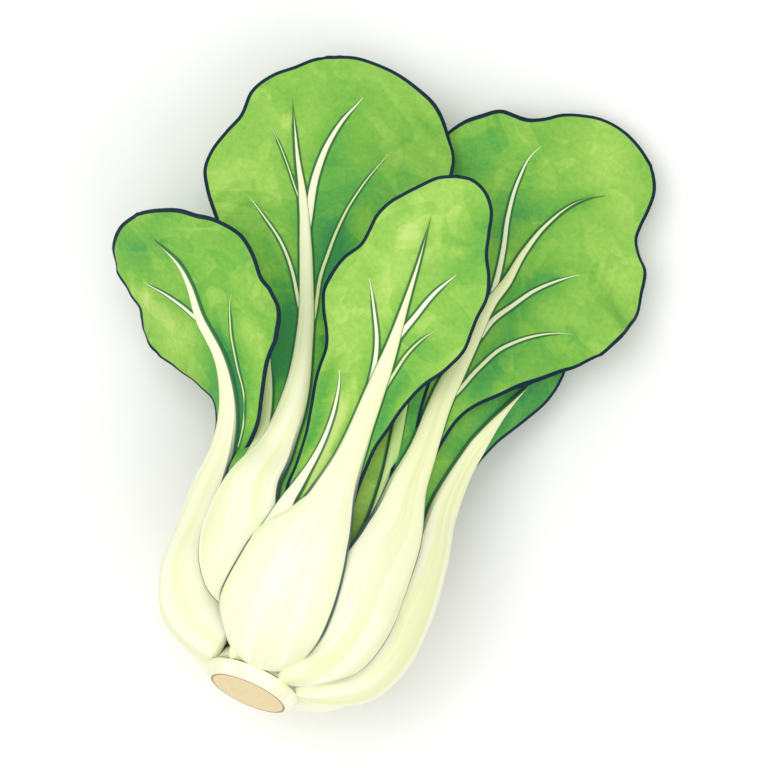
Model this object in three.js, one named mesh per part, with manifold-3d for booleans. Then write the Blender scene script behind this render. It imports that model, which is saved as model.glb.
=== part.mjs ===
// A head of bok choy lying on a table, in millimetres.
//
// Twelve leaves grow from a short trimmed stem. Each leaf is a fleshy white stalk, spoon-shaped where it
// helps to wall the bulb, that runs on as a midrib with side veins, and a thin green blade that the ribs
// carry. The head is drawn in its own plant frame: +Y along the plant's axis from the cut face of the stem,
// +X to the right and +Z to the upper side. It is then laid on the table, leaf end low, table at Z = 0.
import * as THREE from "three";
import { mergeVertices } from "three/addons/utils/BufferGeometryUtils.js";
import Module from "manifold-3d";

const wasm = await Module();
wasm.setup();

// ---- Driving dimensions ----
const AXIS_PITCH_DEG = 9; // the leaf end droops below the stem end
const AXIS_YAW_DEG = -6; // turns the spread of leaves onto +Y
const AXIS_HEIGHT = 56; // the plant's axis above the table, at the cut face
const SHEET = 0.9; // thickness of a leaf blade
const GAP = 0.3; // clearance between touching pieces
const STEM_RADIUS = 18; // widest part of the trimmed stem
const CUT_RADIUS = 14.6; // flat of the trimmed stem

// Profile of the bulb that every leaf base follows: distance along the axis, share of the bulge radius.
const WALL = [[8, 0.33], [10.5, 0.58], [17, 0.83], [31, 0.975], [50, 1]];

// The leaves, from the top of the heap down. Lengths run along a leaf's midline from its foot.
//   turn, bulge, lean, rise: bearing round the axis, bulge radius, sideways lean, lift of the foot
//   course: [x, y, z] stations of the midline past the bulb
//   side: bearing of the leaf's right-hand side, at even steps along it
//   stalk: [along, half width], or [along, width left of the midline, width right of it]
//   flesh: [along, thickness], cup: [along, curvature across]
//   left, right: [across, along] edge of the blade, from the foot of its wings to the tip
//   veins: [across, along] of the foot, then of the end
//   wave: height of the ruffle, its length and how far it is shifted
//   grid: rows and columns of the blade, rings and sides of the stalk
const LEAVES = [
  {
    name: "front",
    turn: 96, bulge: 47, lean: 1, rise: 0,
    course: [
      [-4, 71, 41], [-3.5, 94, 37], [-4.5, 114, 36], [-5, 132, 38],
      [-7, 155, 42], [-8.5, 177, 46], [-10, 200, 49],
    ],
    side: [6, 6, 5, 2, 0, 0],
    stalk: [
      [0, 16, 14], [10, 21, 17.5], [28, 23, 20.5], [42, 22, 20], [56, 20, 17.3], [62, 17.3, 15.6],
      [68, 12.2, 14.2], [75, 8.6, 12.2], [84, 6.6, 9.6], [94, 5.2, 7.2], [108, 4.4, 5], [125, 3.6, 4.2],
      [145, 2.9, 2.9], [165, 2, 2], [196, 1.1, 1.1],
    ],
    flesh: [[0, 5], [27, 6.5], [60, 7], [100, 6], [140, 4], [192, 2.4]],
    cup: [
      [0, 0.055], [27, 0.026], [55, 0.026], [85, 0.03], [115, 0.025], [140, 0.012], [170, 0.005],
      [212, 0.003],
    ],
    left: [
      [-13, 72], [-15.5, 79], [-16.3, 87], [-18.5, 100], [-20.5, 114], [-22.8, 128], [-23.6, 136],
      [-26, 142], [-29.5, 150], [-31.3, 157],
      [-30.5, 162], [-28, 170], [-24, 176.5], [-23, 183], [-22.5, 188], [-19.5, 195], [-15.5, 200],
      [-11, 205], [-6, 210], [0, 213],
    ],
    right: [
      [12.5, 74], [10, 88], [9.2, 97], [9, 106], [11, 115], [13.5, 126], [17, 136], [22.5, 144], [26.7, 153], [27, 160],
      [27, 166], [27.7, 174], [25.5, 182], [22, 189], [20, 197], [17.5, 206], [12, 212], [6, 214],
      [0, 213],
    ],
    veins: [[-12, 72, -15, 131], [0, 127, -17, 167], [0, 146, 14, 178], [0, 125, 14, 159]],
    wave: [1.4, 42, 0],
    grid: [15, 4, 14, 12],
  },
  {
    name: "tall",
    turn: 128, bulge: 42, lean: -1, rise: 0,
    course: [
      [-29.5, 66, 31], [-27, 84, 25], [-29, 108, 21], [-36, 131, 18], [-47, 156, 16], [-57, 178, 15],
      [-66, 208, 13], [-72, 233, 11],
    ],
    side: [34, 34, 32, 26, 16, 10, 6, 4, 2],
    stalk: [
      [0, 1, 6], [14, 1, 9], [24, 3, 11], [34, 10, 14], [44, 16, 17], [55, 20, 16], [64, 18.5, 13],
      [74, 12.6, 11.5], [84, 9.4, 10], [94, 7.2, 7.6], [110, 5.6, 5.8], [130, 4.2, 3.8], [150, 3.2, 3.1],
      [175, 2.6, 2.6], [190, 2, 2], [226, 1.1, 1.1],
    ],
    flesh: [[0, 5], [27, 6.5], [60, 7], [100, 6], [150, 4.2], [226, 2.2]],
    cup: [
      [0, 0.07], [27, 0.03], [60, 0.03], [85, 0.03], [110, 0.022], [135, 0.01], [170, 0.004],
      [251, 0.002],
    ],
    left: [
      [-12, 70], [-18, 84], [-21, 100], [-21, 120], [-23, 140], [-28, 165], [-33, 186], [-37, 196],
      [-38.4, 202], [-37, 208], [-31.6, 217], [-28, 222], [-25, 232], [-18, 240], [-11, 244.5],
      [-4.5, 249], [0, 251],
    ],
    right: [
      [17, 62], [15, 76], [14, 92], [15, 112], [20, 132], [30, 156], [41, 178], [51, 200], [54, 214],
      [54, 224], [51.4, 231], [44, 241], [36, 246], [27, 250], [19, 252], [11, 253], [0, 251],
    ],
    veins: [[-8.5, 80, -13, 132], [0, 157, -22, 195], [0, 188, 17, 239], [0, 152, 31, 218]],
    wave: [1.6, 52, 20],
    grid: [16, 4, 14, 12],
  },
  {
    name: "left",
    turn: 184, bulge: 45.5, lean: 0, rise: 0,
    course: [
      [-46.5, 66, 1], [-46.5, 80, 8], [-51, 94, 18], [-62, 108, 26], [-74, 117, 31], [-88, 127, 36],
      [-100, 133, 39], [-113, 139, 40],
    ],
    side: [90, 90, 86, 72, 56, 46, 42, 40, 40],
    stalk: [
      [0, 12, 16], [12, 19, 23], [28, 23, 29], [42, 22, 27], [52, 18.5, 22], [62, 13, 17.5],
      [72, 9, 13.5], [82, 6.8, 10.2], [92, 6, 7], [104, 5.4, 4.8], [114, 4.6, 3.6], [125, 3.2, 3],
      [140, 2.4, 2.4], [160, 1.5, 1.5], [178, 1.1, 1.1],
    ],
    flesh: [[0, 5], [27, 6.5], [60, 7], [100, 6], [140, 4], [172, 2.4]],
    cup: [
      [0, 0.07], [27, 0.038], [60, 0.04], [80, 0.04], [100, 0.016], [118, 0.006], [150, 0.004],
      [200, 0.002],
    ],
    left: [
      [-8, 84], [-7.5, 100], [-9.5, 106], [-17.5, 112], [-25.5, 120], [-31, 128], [-38.5, 138], [-42, 144],
      [-38.5, 149], [-34, 154], [-32.5, 162], [-33.7, 170], [-33, 178], [-27, 186], [-20.5, 188.5],
      [-12, 190], [0, 189],
    ],
    right: [
      [11, 76], [11.5, 91], [13, 98], [15, 105], [16.7, 113], [20, 121], [23.6, 125], [30, 130], [35, 134],
      [39, 138.5], [38.5, 144], [35, 150], [35.5, 158], [34.8, 166], [32.5, 171], [25, 176], [20.5, 179],
      [13, 183], [5, 187], [0, 189],
    ],
    veins: [[0, 141, -22, 165], [0, 112, 19, 149]],
    wave: [1.4, 36, 10],
    grid: [15, 4, 14, 12],
  },
  {
    name: "right",
    turn: 58, bulge: 44.5, lean: -1, rise: 0,
    course: [
      [26.5, 72, 31], [22.5, 94, 25.5], [21, 130, 15], [23.5, 154, 9],
      [23.5, 182, 5], [29, 206, 2], [38, 226, 0],
      [54, 250, -2],
    ],
    side: [-26, -26, -25, -20, -12, -8, -6, -4, -4],
    stalk: [
      [0, 2, 11], [14, 8, 16.5], [28, 14, 19.5], [42, 15, 20.8], [54, 12.8, 21.5], [64, 11.8, 19.5],
      [75, 12.6, 13.5], [86, 12.2, 9], [96, 10.4, 6.8], [106, 8.2, 5.6], [118, 6.5, 4.5], [134, 5.5, 4],
      [150, 4.6, 3.9], [165, 3.4, 3.4], [180, 2.8, 2.8], [200, 2, 2], [230, 1.4, 1.4], [252, 1.1, 1.1],
    ],
    flesh: [[0, 5], [27, 6.5], [60, 7], [100, 6], [150, 4.5], [248, 2.4]],
    cup: [
      [0, 0.07], [27, 0.03], [60, 0.03], [85, 0.03], [110, 0.025], [140, 0.012], [170, 0.005],
      [271, 0.002],
    ],
    left: [
      [-8, 90], [-11, 118], [-17, 143], [-26, 168], [-37, 190], [-48, 207], [-53.5, 219], [-52.5, 229],
      [-49.5, 234], [-46.5, 239], [-42, 242], [-38, 244.5], [-35.5, 248], [-33.5, 254], [-30, 260],
      [-25, 266], [-17, 271], [-8, 273], [0, 273],
    ],
    right: [
      [5, 112], [6.5, 126], [8.5, 139], [12.5, 150], [17, 158], [21.5, 165], [27, 170], [33.5, 176],
      [39.5, 182], [43.5, 191], [46, 204], [46.5, 219], [44, 234], [39, 241], [33, 248.5], [27, 250],
      [22, 252.5], [18.5, 257], [14.5, 263], [9, 269], [3, 272], [0, 273],
    ],
    veins: [[0, 190, -27, 244], [0, 178, 20, 221], [0, 147, 33, 193]],
    wave: [1.6, 50, 5],
    grid: [16, 4, 14, 12],
  },
  {
    name: "low_right",
    turn: 16, bulge: 46, lean: 0, rise: 0,
    course: [
      [41, 74, 13], [37, 92, 10], [37, 113, 4], [39.5, 128, 1],
      [43, 144, -3], [47.5, 159, -6], [55, 181, -8],
      [62, 200, -9],
    ],
    side: [-69, -69, -65, -58, -50, -44, -40, -38, -36],
    stalk: [
      [0, 4, 10], [14, 12, 17], [28, 17, 21.5], [42, 19, 22.5], [58, 20, 20], [74, 15, 14.5],
      [86, 12, 12.5], [98, 8.8, 10.8], [111, 6, 8.6], [124, 4.6, 6], [136, 4.2, 4.4], [146, 3.4, 3.2],
      [160, 1.8, 1.8], [172, 1.2, 1.2],
    ],
    flesh: [[0, 5], [27, 6.5], [60, 7], [100, 6], [150, 4.5], [196, 2.4]],
    cup: [
      [0, 0.07], [27, 0.036], [60, 0.036], [85, 0.034], [110, 0.03], [135, 0.015], [160, 0.005],
      [220, 0.002],
    ],
    left: [[-11, 84], [-14, 100], [-16, 118], [-22, 140], [-26, 162], [-22, 180], [-10, 191], [0, 194]],
    right: [[8.5, 102], [8, 115], [6.5, 128], [7.5, 142], [11.5, 160], [12.5, 174], [8, 186], [0, 194]],
    veins: [],
    wave: [1.2, 44, 0],
    grid: [11, 4, 13, 12],
  },
  {
    name: "under_middle",
    turn: 275, bulge: 45.5, lean: 0, rise: 0,
    course: [
      [3, 72, -43], [1, 94, -36], [-2, 115, -33], [-6, 140, -30], [-10, 165, -27], [-14, 190, -23.5],
      [-17, 215, -19.5], [-19, 232, -17],
    ],
    side: [185, 185, 183, 181, 180, 180],
    stalk: [
      [0, 10], [14, 17], [28, 21.5], [42, 22], [58, 20],
      [76, 13], [98, 8], [135, 5.5], [160, 4.2], [185, 3],
      [220, 1.3],
    ],
    flesh: [[0, 5], [27, 6.5], [60, 7], [100, 6], [150, 4.5], [220, 2.4]],
    cup: [[0, 0.07], [27, 0.036], [60, 0.036], [100, 0.05], [135, 0.01], [170, -0.002], [245, -0.002]],
    left: [[-8, 90], [-12, 112], [-26, 140], [-38, 170], [-36, 200], [-18, 226], [0, 236]],
    right: [[8, 90], [12, 112], [26, 140], [38, 170], [36, 200], [18, 226], [0, 236]],
    veins: [[0, 150, 24, 195], [0, 150, -24, 195]],
    wave: [0.5, 60, 0],
    grid: [10, 4, 12, 10],
  },
  {
    name: "under_left",
    turn: 229, bulge: 45, lean: 0, rise: 0,
    course: [
      [-31, 73, -31], [-28, 95, -27.5], [-33, 120, -27], [-41, 145, -26], [-48, 170, -23],
      [-54, 195, -19],
    ],
    side: [134, 134, 148, 166, 180, 188],
    stalk: [
      [0, 10], [14, 17], [28, 21.5], [42, 22], [58, 20], [76, 13], [98, 8], [130, 5], [160, 3],
      [185, 1.3],
    ],
    flesh: [[0, 5], [27, 6.5], [60, 7], [100, 6], [150, 4], [185, 2.4]],
    cup: [[0, 0.07], [27, 0.036], [60, 0.036], [100, 0.04], [135, 0.01], [170, -0.002], [240, -0.002]],
    left: [[-8, 90], [-12, 112], [-24, 135], [-30, 160], [-25, 182], [-12, 197], [0, 202]],
    right: [[8, 90], [12, 112], [24, 135], [30, 160], [25, 182], [12, 197], [0, 202]],
    veins: [[0, 135, 18, 170], [0, 135, -18, 170]],
    wave: [0.5, 60, 0],
    grid: [10, 4, 12, 10],
  },
  {
    name: "under_right",
    turn: 322, bulge: 43.5, lean: 0, rise: 0,
    course: [[34, 73, -28], [26, 95, -26], [22, 120, -27], [24, 145, -26], [28, 170, -23], [31, 195, -19]],
    side: [237, 237, 219, 194, 180, 172],
    stalk: [
      [0, 10], [14, 17], [28, 21.5], [42, 22], [58, 20], [76, 13], [98, 8], [130, 5], [160, 3],
      [185, 1.3],
    ],
    flesh: [[0, 5], [27, 6.5], [60, 7], [100, 6], [150, 4], [185, 2.4]],
    cup: [[0, 0.07], [27, 0.036], [60, 0.036], [100, 0.04], [135, 0.01], [170, -0.002], [240, -0.002]],
    left: [[-8, 90], [-11, 112], [-18, 135], [-22, 160], [-18, 182], [-9, 196], [0, 200]],
    right: [[8, 90], [12, 112], [24, 135], [30, 160], [25, 182], [12, 197], [0, 200]],
    veins: [[0, 135, 18, 170], [0, 130, -14, 165]],
    wave: [0.5, 60, 0],
    grid: [10, 4, 12, 10],
  },
  {
    name: "inner_left",
    turn: 150, bulge: 30.4, lean: 0, rise: 8,
    course: [
      [-29, 72, 13], [-31, 86, 10], [-34.5, 93, 8], [-37.5, 105, 5],
      [-44, 123, 3], [-52, 142, 3], [-58, 160, 4],
    ],
    side: [60, 60, 50, 40, 34, 30, 30],
    stalk: [
      [0, 6], [14, 10], [28, 12.5], [42, 13.5], [60, 11],
      [78, 5.5], [90, 3], [110, 2.2], [130, 1.8], [150, 1.2],
    ],
    flesh: [[0, 4], [27, 5], [60, 5], [100, 4.5], [160, 2.4]],
    cup: [[0, 0.08], [27, 0.05], [60, 0.05], [90, 0.06], [120, 0.02], [150, 0.004], [180, 0.002]],
    left: [[-6, 80], [-9, 95], [-18, 115], [-24, 140], [-18, 160], [-8, 172], [0, 176]],
    right: [[6, 80], [9, 95], [18, 115], [24, 140], [18, 160], [8, 172], [0, 176]],
    veins: [],
    wave: [0.8, 40, 0],
    grid: [9, 3, 12, 10],
  },
  {
    name: "inner_right",
    turn: 60, bulge: 30, lean: 0, rise: 8,
    course: [
      [16, 71, 27], [14, 87, 26], [10.5, 105, 24], [7, 121, 22], [4, 138, 19], [0.5, 157, 16],
      [-3, 176, 15],
    ],
    side: [-30, -30, -24, -14, -6, -4, -2],
    stalk: [
      [0, 5], [14, 7], [28, 7], [42, 5.5], [56, 4], [72, 3.2], [85, 2.6], [107, 2.3],
      [135, 1.8], [160, 1.2],
    ],
    flesh: [[0, 4], [27, 5], [60, 5], [100, 4.5], [166, 2.4]],
    cup: [[0, 0.08], [27, 0.05], [60, 0.05], [90, 0.06], [120, 0.02], [150, 0.004], [180, 0.002]],
    left: [[-9, 46], [-12, 62], [-13, 95], [-14, 115], [-15, 140], [-12, 160], [-6, 176], [0, 181]],
    right: [[6, 56], [8, 80], [8.5, 95], [8, 115], [9, 140], [8, 160], [4, 176], [0, 181]],
    veins: [],
    wave: [0.8, 40, 0],
    grid: [9, 3, 12, 10],
  },
  {
    name: "heart_left",
    turn: 200, bulge: 24, lean: 0, rise: 8,
    course: [[-20, 72, -10], [-20, 90, -12], [-22, 110, -13], [-26, 130, -12], [-30, 150, -10]],
    side: [110, 110, 120, 130, 136],
    stalk: [[0, 4], [12, 6], [27, 9], [42, 10], [60, 9], [78, 7], [98, 4.5], [125, 2.5], [145, 1.3]],
    flesh: [[0, 3.5], [27, 4.5], [60, 4.5], [100, 4], [145, 2.4]],
    cup: [[0, 0.08], [27, 0.06], [60, 0.06], [90, 0.06], [120, 0.03], [150, 0.02]],
    left: [[-5, 78], [-8, 92], [-15, 108], [-18, 125], [-14, 142], [-6, 153], [0, 156]],
    right: [[5, 78], [8, 92], [15, 108], [18, 125], [14, 142], [6, 153], [0, 156]],
    veins: [],
    wave: [0.6, 36, 0],
    grid: [8, 3, 10, 8],
  },
  {
    name: "heart_right",
    turn: 345, bulge: 24, lean: 0, rise: 8,
    course: [[20, 72, -7], [18, 90, -9], [18, 110, -11], [20, 130, -11], [22, 150, -10]],
    side: [-105, -105, -115, -125, -130],
    stalk: [[0, 4], [12, 6], [27, 9], [42, 10], [60, 9], [78, 7], [98, 4.5], [125, 2.5], [145, 1.3]],
    flesh: [[0, 3.5], [27, 4.5], [60, 4.5], [100, 4], [145, 2.4]],
    cup: [[0, 0.08], [27, 0.06], [60, 0.06], [90, 0.06], [120, 0.03], [150, 0.02]],
    left: [[-5, 78], [-8, 92], [-15, 108], [-18, 125], [-14, 142], [-6, 153], [0, 156]],
    right: [[5, 78], [8, 92], [15, 108], [18, 125], [14, 142], [6, 153], [0, 156]],
    veins: [],
    wave: [0.6, 36, 0],
    grid: [8, 3, 10, 8],
  },
];

// ---- Curves through stations ----
class Course {
  // A smooth curve through values at increasing knots, carried on straight past both ends.
  constructor(knots, values) {
    this.knots = knots;
    this.values = values;
    const steps = knots.slice(1).map((k, i) => k - knots[i]);
    const rates = steps.map((h, i) => values[i].map((v, c) => (values[i + 1][c] - v) / h));
    this.rates = values.map((_, i) => {
      if (i === 0) return rates[0];
      if (i === values.length - 1) return rates[i - 1];
      const [before, after] = [steps[i - 1], steps[i]];
      return rates[i].map((r, c) => (r * before + rates[i - 1][c] * after) / (before + after));
    });
  }

  at(s) {
    const last = this.knots.length - 1;
    const end = Math.min(Math.max(s, this.knots[0]), this.knots[last]);
    let i = 0;
    while (i < last - 1 && end >= this.knots[i + 1]) i += 1;
    const h = this.knots[i + 1] - this.knots[i];
    const u = (end - this.knots[i]) / h;
    const [a, b] = [2 * u ** 3 - 3 * u ** 2 + 1, (u ** 3 - 2 * u ** 2 + u) * h];
    const [c, d] = [-2 * u ** 3 + 3 * u ** 2, (u ** 3 - u ** 2) * h];
    const rate = s < end ? this.rates[0] : this.rates[last];
    return this.values[i].map((v, k) => {
      const inside = a * v + b * this.rates[i][k] + c * this.values[i + 1][k] + d * this.rates[i + 1][k];
      return inside + (s - end) * rate[k];
    });
  }
}

const radians = THREE.MathUtils.degToRad;
const pairs = (list) => new Course(list.map(([k]) => k), list.map(([, v]) => [v]));

// Running lengths along a chain of points, which serve as its knots.
function lengths(points) {
  const knots = [0];
  for (let i = 1; i < points.length; i += 1) {
    knots.push(knots[i - 1] + Math.hypot(...points[i].map((v, k) => v - points[i - 1][k])));
  }
  return knots;
}

// ---- The surface that a leaf follows ----
function prepare(leaf) {
  const turn = radians(leaf.turn);
  const wall = WALL.map(([y, share], i) => {
    const lean = (leaf.lean * i) / (WALL.length - 1);
    const lift = leaf.rise * (1 - i / (WALL.length - 1));
    return [leaf.bulge * share * Math.cos(turn) + lean, y + lift, leaf.bulge * share * Math.sin(turn)];
  });
  const stations = [...wall, ...leaf.course];
  const knots = lengths(stations);
  const length = knots.at(-1);
  const edge = (points) => new Course(lengths(points).map((k) => k / lengths(points).at(-1)), points);
  return {
    ...leaf,
    length,
    path: new Course(knots, stations),
    side: pairs(leaf.side.map((v, i) => [(i / (leaf.side.length - 1)) * length, radians(v)])),
    stalk: new Course(leaf.stalk.map(([k]) => k), leaf.stalk.map(([, l, r = l]) => [l, r])),
    ribEnd: leaf.stalk.at(-1)[0],
    flesh: pairs(leaf.flesh),
    cup: pairs(leaf.cup),
    left: edge(leaf.left),
    right: edge(leaf.right),
    foot: leaf.left[0][1],
    tip: leaf.left.at(-1)[1],
  };
}

// A point on the leaf: across and along its curved surface from the midline, and lifted off its outer side.
function onLeaf(leaf, across, along, lift = 0) {
  const here = new THREE.Vector3(...leaf.path.at(along));
  const before = new THREE.Vector3(...leaf.path.at(along - 0.25));
  const tangent = new THREE.Vector3(...leaf.path.at(along + 0.25)).sub(before).normalize();
  const [turn] = leaf.side.at(along);
  const right = new THREE.Vector3(Math.cos(turn), 0, Math.sin(turn));
  right.addScaledVector(tangent, -right.dot(tangent)).normalize();
  const outward = new THREE.Vector3().crossVectors(right, tangent);
  const [cup] = leaf.cup.at(along);
  const bend = Math.abs(across * cup) < 1e-6 ? 1e-6 : across * cup;
  const sideways = (across * Math.sin(bend)) / bend;
  const inward = (across * (1 - Math.cos(bend))) / bend;
  return here
    .addScaledVector(right, sideways + lift * Math.sin(bend))
    .addScaledVector(outward, lift * Math.cos(bend) - inward);
}

// The waved edge: how far the blade is lifted off the leaf's smooth surface.
function ruffle(leaf, across, along) {
  const [height, length, shift] = leaf.wave;
  const phase = (2 * Math.PI * (along + (across > 0 ? shift : shift + length * 0.37))) / length;
  return height * (across / 30) ** 2 * Math.sin(phase);
}

// ---- Solids ----
function solid(points, faces) {
  const geometry = new THREE.BufferGeometry().setFromPoints(points);
  geometry.setIndex(faces.flat());
  return fromGeometry(geometry);
}

function fromGeometry(geometry, weld = 1e-4) {
  const bare = geometry.clone();
  bare.deleteAttribute("normal");
  bare.deleteAttribute("uv");
  const merged = mergeVertices(bare, weld);
  const mesh = new wasm.Mesh({
    numProp: 3,
    vertProperties: merged.attributes.position.array,
    triVerts: new Uint32Array(merged.index.array),
  });
  return new wasm.Manifold(mesh);
}

function toGeometry(made) {
  const { numProp, vertProperties, triVerts } = made.getMesh();
  const positions = [];
  for (let i = 0; i < vertProperties.length; i += numProp) {
    positions.push(...vertProperties.subarray(i, i + 3));
  }
  const geometry = new THREE.BufferGeometry();
  geometry.setAttribute("position", new THREE.BufferAttribute(new Float32Array(positions), 3));
  geometry.setIndex([...triVerts]);
  return geometry;
}

// A closed body through rings of equal size, which run left-handed round its direction.
function loft(rings) {
  const size = rings[0].length;
  const faces = [];
  for (let r = 0; r < rings.length - 1; r += 1) {
    for (let i = 0; i < size; i += 1) {
      const [a, b] = [r * size + i, r * size + ((i + 1) % size)];
      faces.push([a, b + size, b], [a, a + size, b + size]);
    }
  }
  const end = (rings.length - 1) * size;
  for (let i = 1; i < size - 1; i += 1) faces.push([0, i, i + 1], [end, end + i + 1, end + i]);
  return solid(rings.flat(), faces);
}

const OUTER_SHARE = 0.62; // how much of a stalk's flesh stands on its outer side
const power = (v, p) => Math.sign(v) * Math.abs(v) ** p;

function stalkSolid(leaf, grow) {
  const [, , steps, sides] = leaf.grid;
  const rings = [];
  for (let r = 0; r <= steps; r += 1) {
    const along = leaf.ribEnd * (r / steps) ** 1.3;
    const [left, right] = leaf.stalk.at(along);
    const [flesh] = leaf.flesh.at(along);
    const reach = r === 0 ? -grow : r === steps ? grow : 0;
    const ring = [];
    for (let i = 0; i < sides; i += 1) {
      const a = (2 * Math.PI * i) / sides;
      const height = power(Math.sin(a), 0.75);
      const depth = flesh * (height > 0 ? OUTER_SHARE : 1 - OUTER_SHARE) + grow;
      const half = (Math.cos(a) > 0 ? right : left) + grow;
      ring.push(onLeaf(leaf, half * power(Math.cos(a), 0.85), along + reach, depth * height));
    }
    rings.push(ring);
  }
  return loft(rings);
}

const VEIN_SECTION = [[1, 0], [0.7, 0.95], [-0.7, 0.95], [-1, 0]]; // half width and height of a side vein
const VEIN_STEPS = 5;

function veinSolid(leaf, [footX, footY, endX, endY], grow) {
  const spots = Array.from({ length: VEIN_STEPS + 1 }, (_, i) => {
    const share = i / VEIN_STEPS;
    return [footX + (endX - footX) * share ** 1.3, footY + (endY - footY) * share];
  });
  const place = ([x, y], lift) => onLeaf(leaf, x, y, ruffle(leaf, x, y) + lift);
  const rings = spots.map((spot, i) => {
    const before = place(spots[Math.max(i - 1, 0)], 0);
    const ahead = place(spots[Math.min(i + 1, VEIN_STEPS)], 0).sub(before).normalize();
    const middle = place(spot, 0);
    const outward = place(spot, 1).sub(middle).normalize();
    const sideways = new THREE.Vector3().crossVectors(ahead, outward).normalize();
    const size = THREE.MathUtils.lerp(2, 1.5, i / VEIN_STEPS) + grow;
    return VEIN_SECTION.map(([x, z]) => {
      return middle.clone().addScaledVector(sideways, size * x).addScaledVector(outward, size * z);
    });
  });
  return loft(rings);
}

const LAST_ROW = 0.985; // the blade's rows stop just short of its tip, where they would meet

function sheetSolid(leaf, grow) {
  const [rows, columns] = leaf.grid;
  const width = 2 * columns + 1;
  const faces = [];
  const points = [];
  for (const lift of [SHEET / 2 + grow, -SHEET / 2 - grow]) {
    for (let r = 0; r <= rows; r += 1) {
      const row = (LAST_ROW * r) / rows;
      const ribY = leaf.foot + (leaf.tip - leaf.foot) * (r / rows) ** 1.35;
      for (let c = -columns; c <= columns; c += 1) {
        const [edgeX, edgeY] = (c < 0 ? leaf.left : leaf.right).at(row);
        const reach = Math.abs(c) / columns;
        const across = edgeX * reach ** 1.2 + Math.sign(c) * grow * reach;
        const along = ribY + (edgeY - ribY) * (1.35 * reach - 0.35 * reach ** 2);
        points.push(onLeaf(leaf, across, along, lift + ruffle(leaf, across, along)));
      }
    }
  }
  const under = (rows + 1) * width;
  const at = (r, c) => r * width + c;
  for (let r = 0; r < rows; r += 1) {
    for (let c = 0; c < width - 1; c += 1) {
      const [a, b, d, e] = [at(r, c), at(r, c + 1), at(r + 1, c), at(r + 1, c + 1)];
      const halves = c < columns ? [[a, b, d], [b, e, d]] : [[a, b, e], [a, e, d]];
      for (const [x, y, z] of halves) faces.push([x, y, z], [x + under, z + under, y + under]);
    }
  }
  const rim = [];
  for (let c = 0; c < width - 1; c += 1) rim.push(at(0, c));
  for (let r = 0; r < rows; r += 1) rim.push(at(r, width - 1));
  for (let c = width - 1; c > 0; c -= 1) rim.push(at(rows, c));
  for (let r = rows; r > 0; r -= 1) rim.push(at(r, 0));
  rim.forEach((a, i) => {
    const b = rim[(i + 1) % rim.length];
    faces.push([a, a + under, b + under], [a, b + under, b]);
  });
  return solid(points, faces);
}

// The largest body of a solid: cutting can leave small scraps beside it.
function largest(made) {
  return made.decompose().sort((a, b) => b.volume() - a.volume())[0];
}

// ---- The trimmed stem: a rounded stump with a cut face, and the core that the leaves grow from ----
function stemSolid(grow) {
  const profile = [
    [0, 0], [CUT_RADIUS, 0], [CUT_RADIUS + 2.2, 0.9], [STEM_RADIUS, 3.2], [STEM_RADIUS - 0.4, 5.6],
    [STEM_RADIUS - 3, 7.8], [11.5, 9], [10.5, 19], [7, 27], [0, 30],
  ];
  const grown = profile.map(([r, y]) => {
    return new THREE.Vector2(r > 0 ? r + grow : 0, y === 0 ? -grow : y + (y > 6 ? grow : 0));
  });
  return fromGeometry(new THREE.LatheGeometry(grown, 30));
}

// ---- Laying the head on the table ----
const lay = new THREE.Matrix4()
  .makeTranslation(0, 0, AXIS_HEIGHT)
  .multiply(new THREE.Matrix4().makeRotationZ(radians(AXIS_YAW_DEG)))
  .multiply(new THREE.Matrix4().makeRotationX(radians(-AXIS_PITCH_DEG)));

const table = fromGeometry(
  new THREE.BoxGeometry(900, 900, 100).translate(0, 0, -50).applyMatrix4(lay.clone().invert()),
);

// ---- Build: each leaf gives way to the ones before it ----
const WHITE = { color: 0xf2f3cf, roughness: 0.35, metalness: 0 };
const GREEN = { color: 0x7dbb4a, roughness: 0.5, metalness: 0 };
const head = new THREE.Group();

function addMesh(name, made, look) {
  const geometry = toGeometry(made);
  geometry.computeVertexNormals();
  const mesh = new THREE.Mesh(geometry, new THREE.MeshStandardMaterial(look));
  mesh.name = name;
  head.add(mesh);
}

addMesh("stem", stemSolid(0), WHITE);
let taken = stemSolid(GAP);

for (const leaf of LEAVES.map(prepare)) {
  const over = sheetSolid(leaf, GAP);
  const ribs = (grow) => {
    const rib = stalkSolid(leaf, grow);
    return leaf.veins.reduce((body, vein) => body.add(veinSolid(leaf, vein, grow).subtract(over)), rib);
  };
  const place = (made) => {
    const cut = made.subtract(taken).subtract(table).simplify(0.08);
    return largest(fromGeometry(toGeometry(cut), 0.01));
  };
  const stalk = place(ribs(0));
  const blade = place(sheetSolid(leaf, 0).subtract(stalkSolid(leaf, GAP)));
  addMesh(`stalk_${leaf.name}`, stalk, WHITE);
  addMesh(`blade_${leaf.name}`, blade, GREEN);
  taken = taken.add(ribs(GAP)).add(over);
}

// The origin stands under the middle of the laid head, on the table.
head.applyMatrix4(lay);
const extent = new THREE.Box3().setFromObject(head, true);
const middle = extent.getCenter(new THREE.Vector3());
head.position.sub(new THREE.Vector3(middle.x, middle.y, extent.min.z));
export default head;
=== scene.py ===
import math

import bmesh
import bpy
import numpy as np
from mathutils import Matrix, Vector
from mathutils.bvhtree import BVHTree


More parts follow.
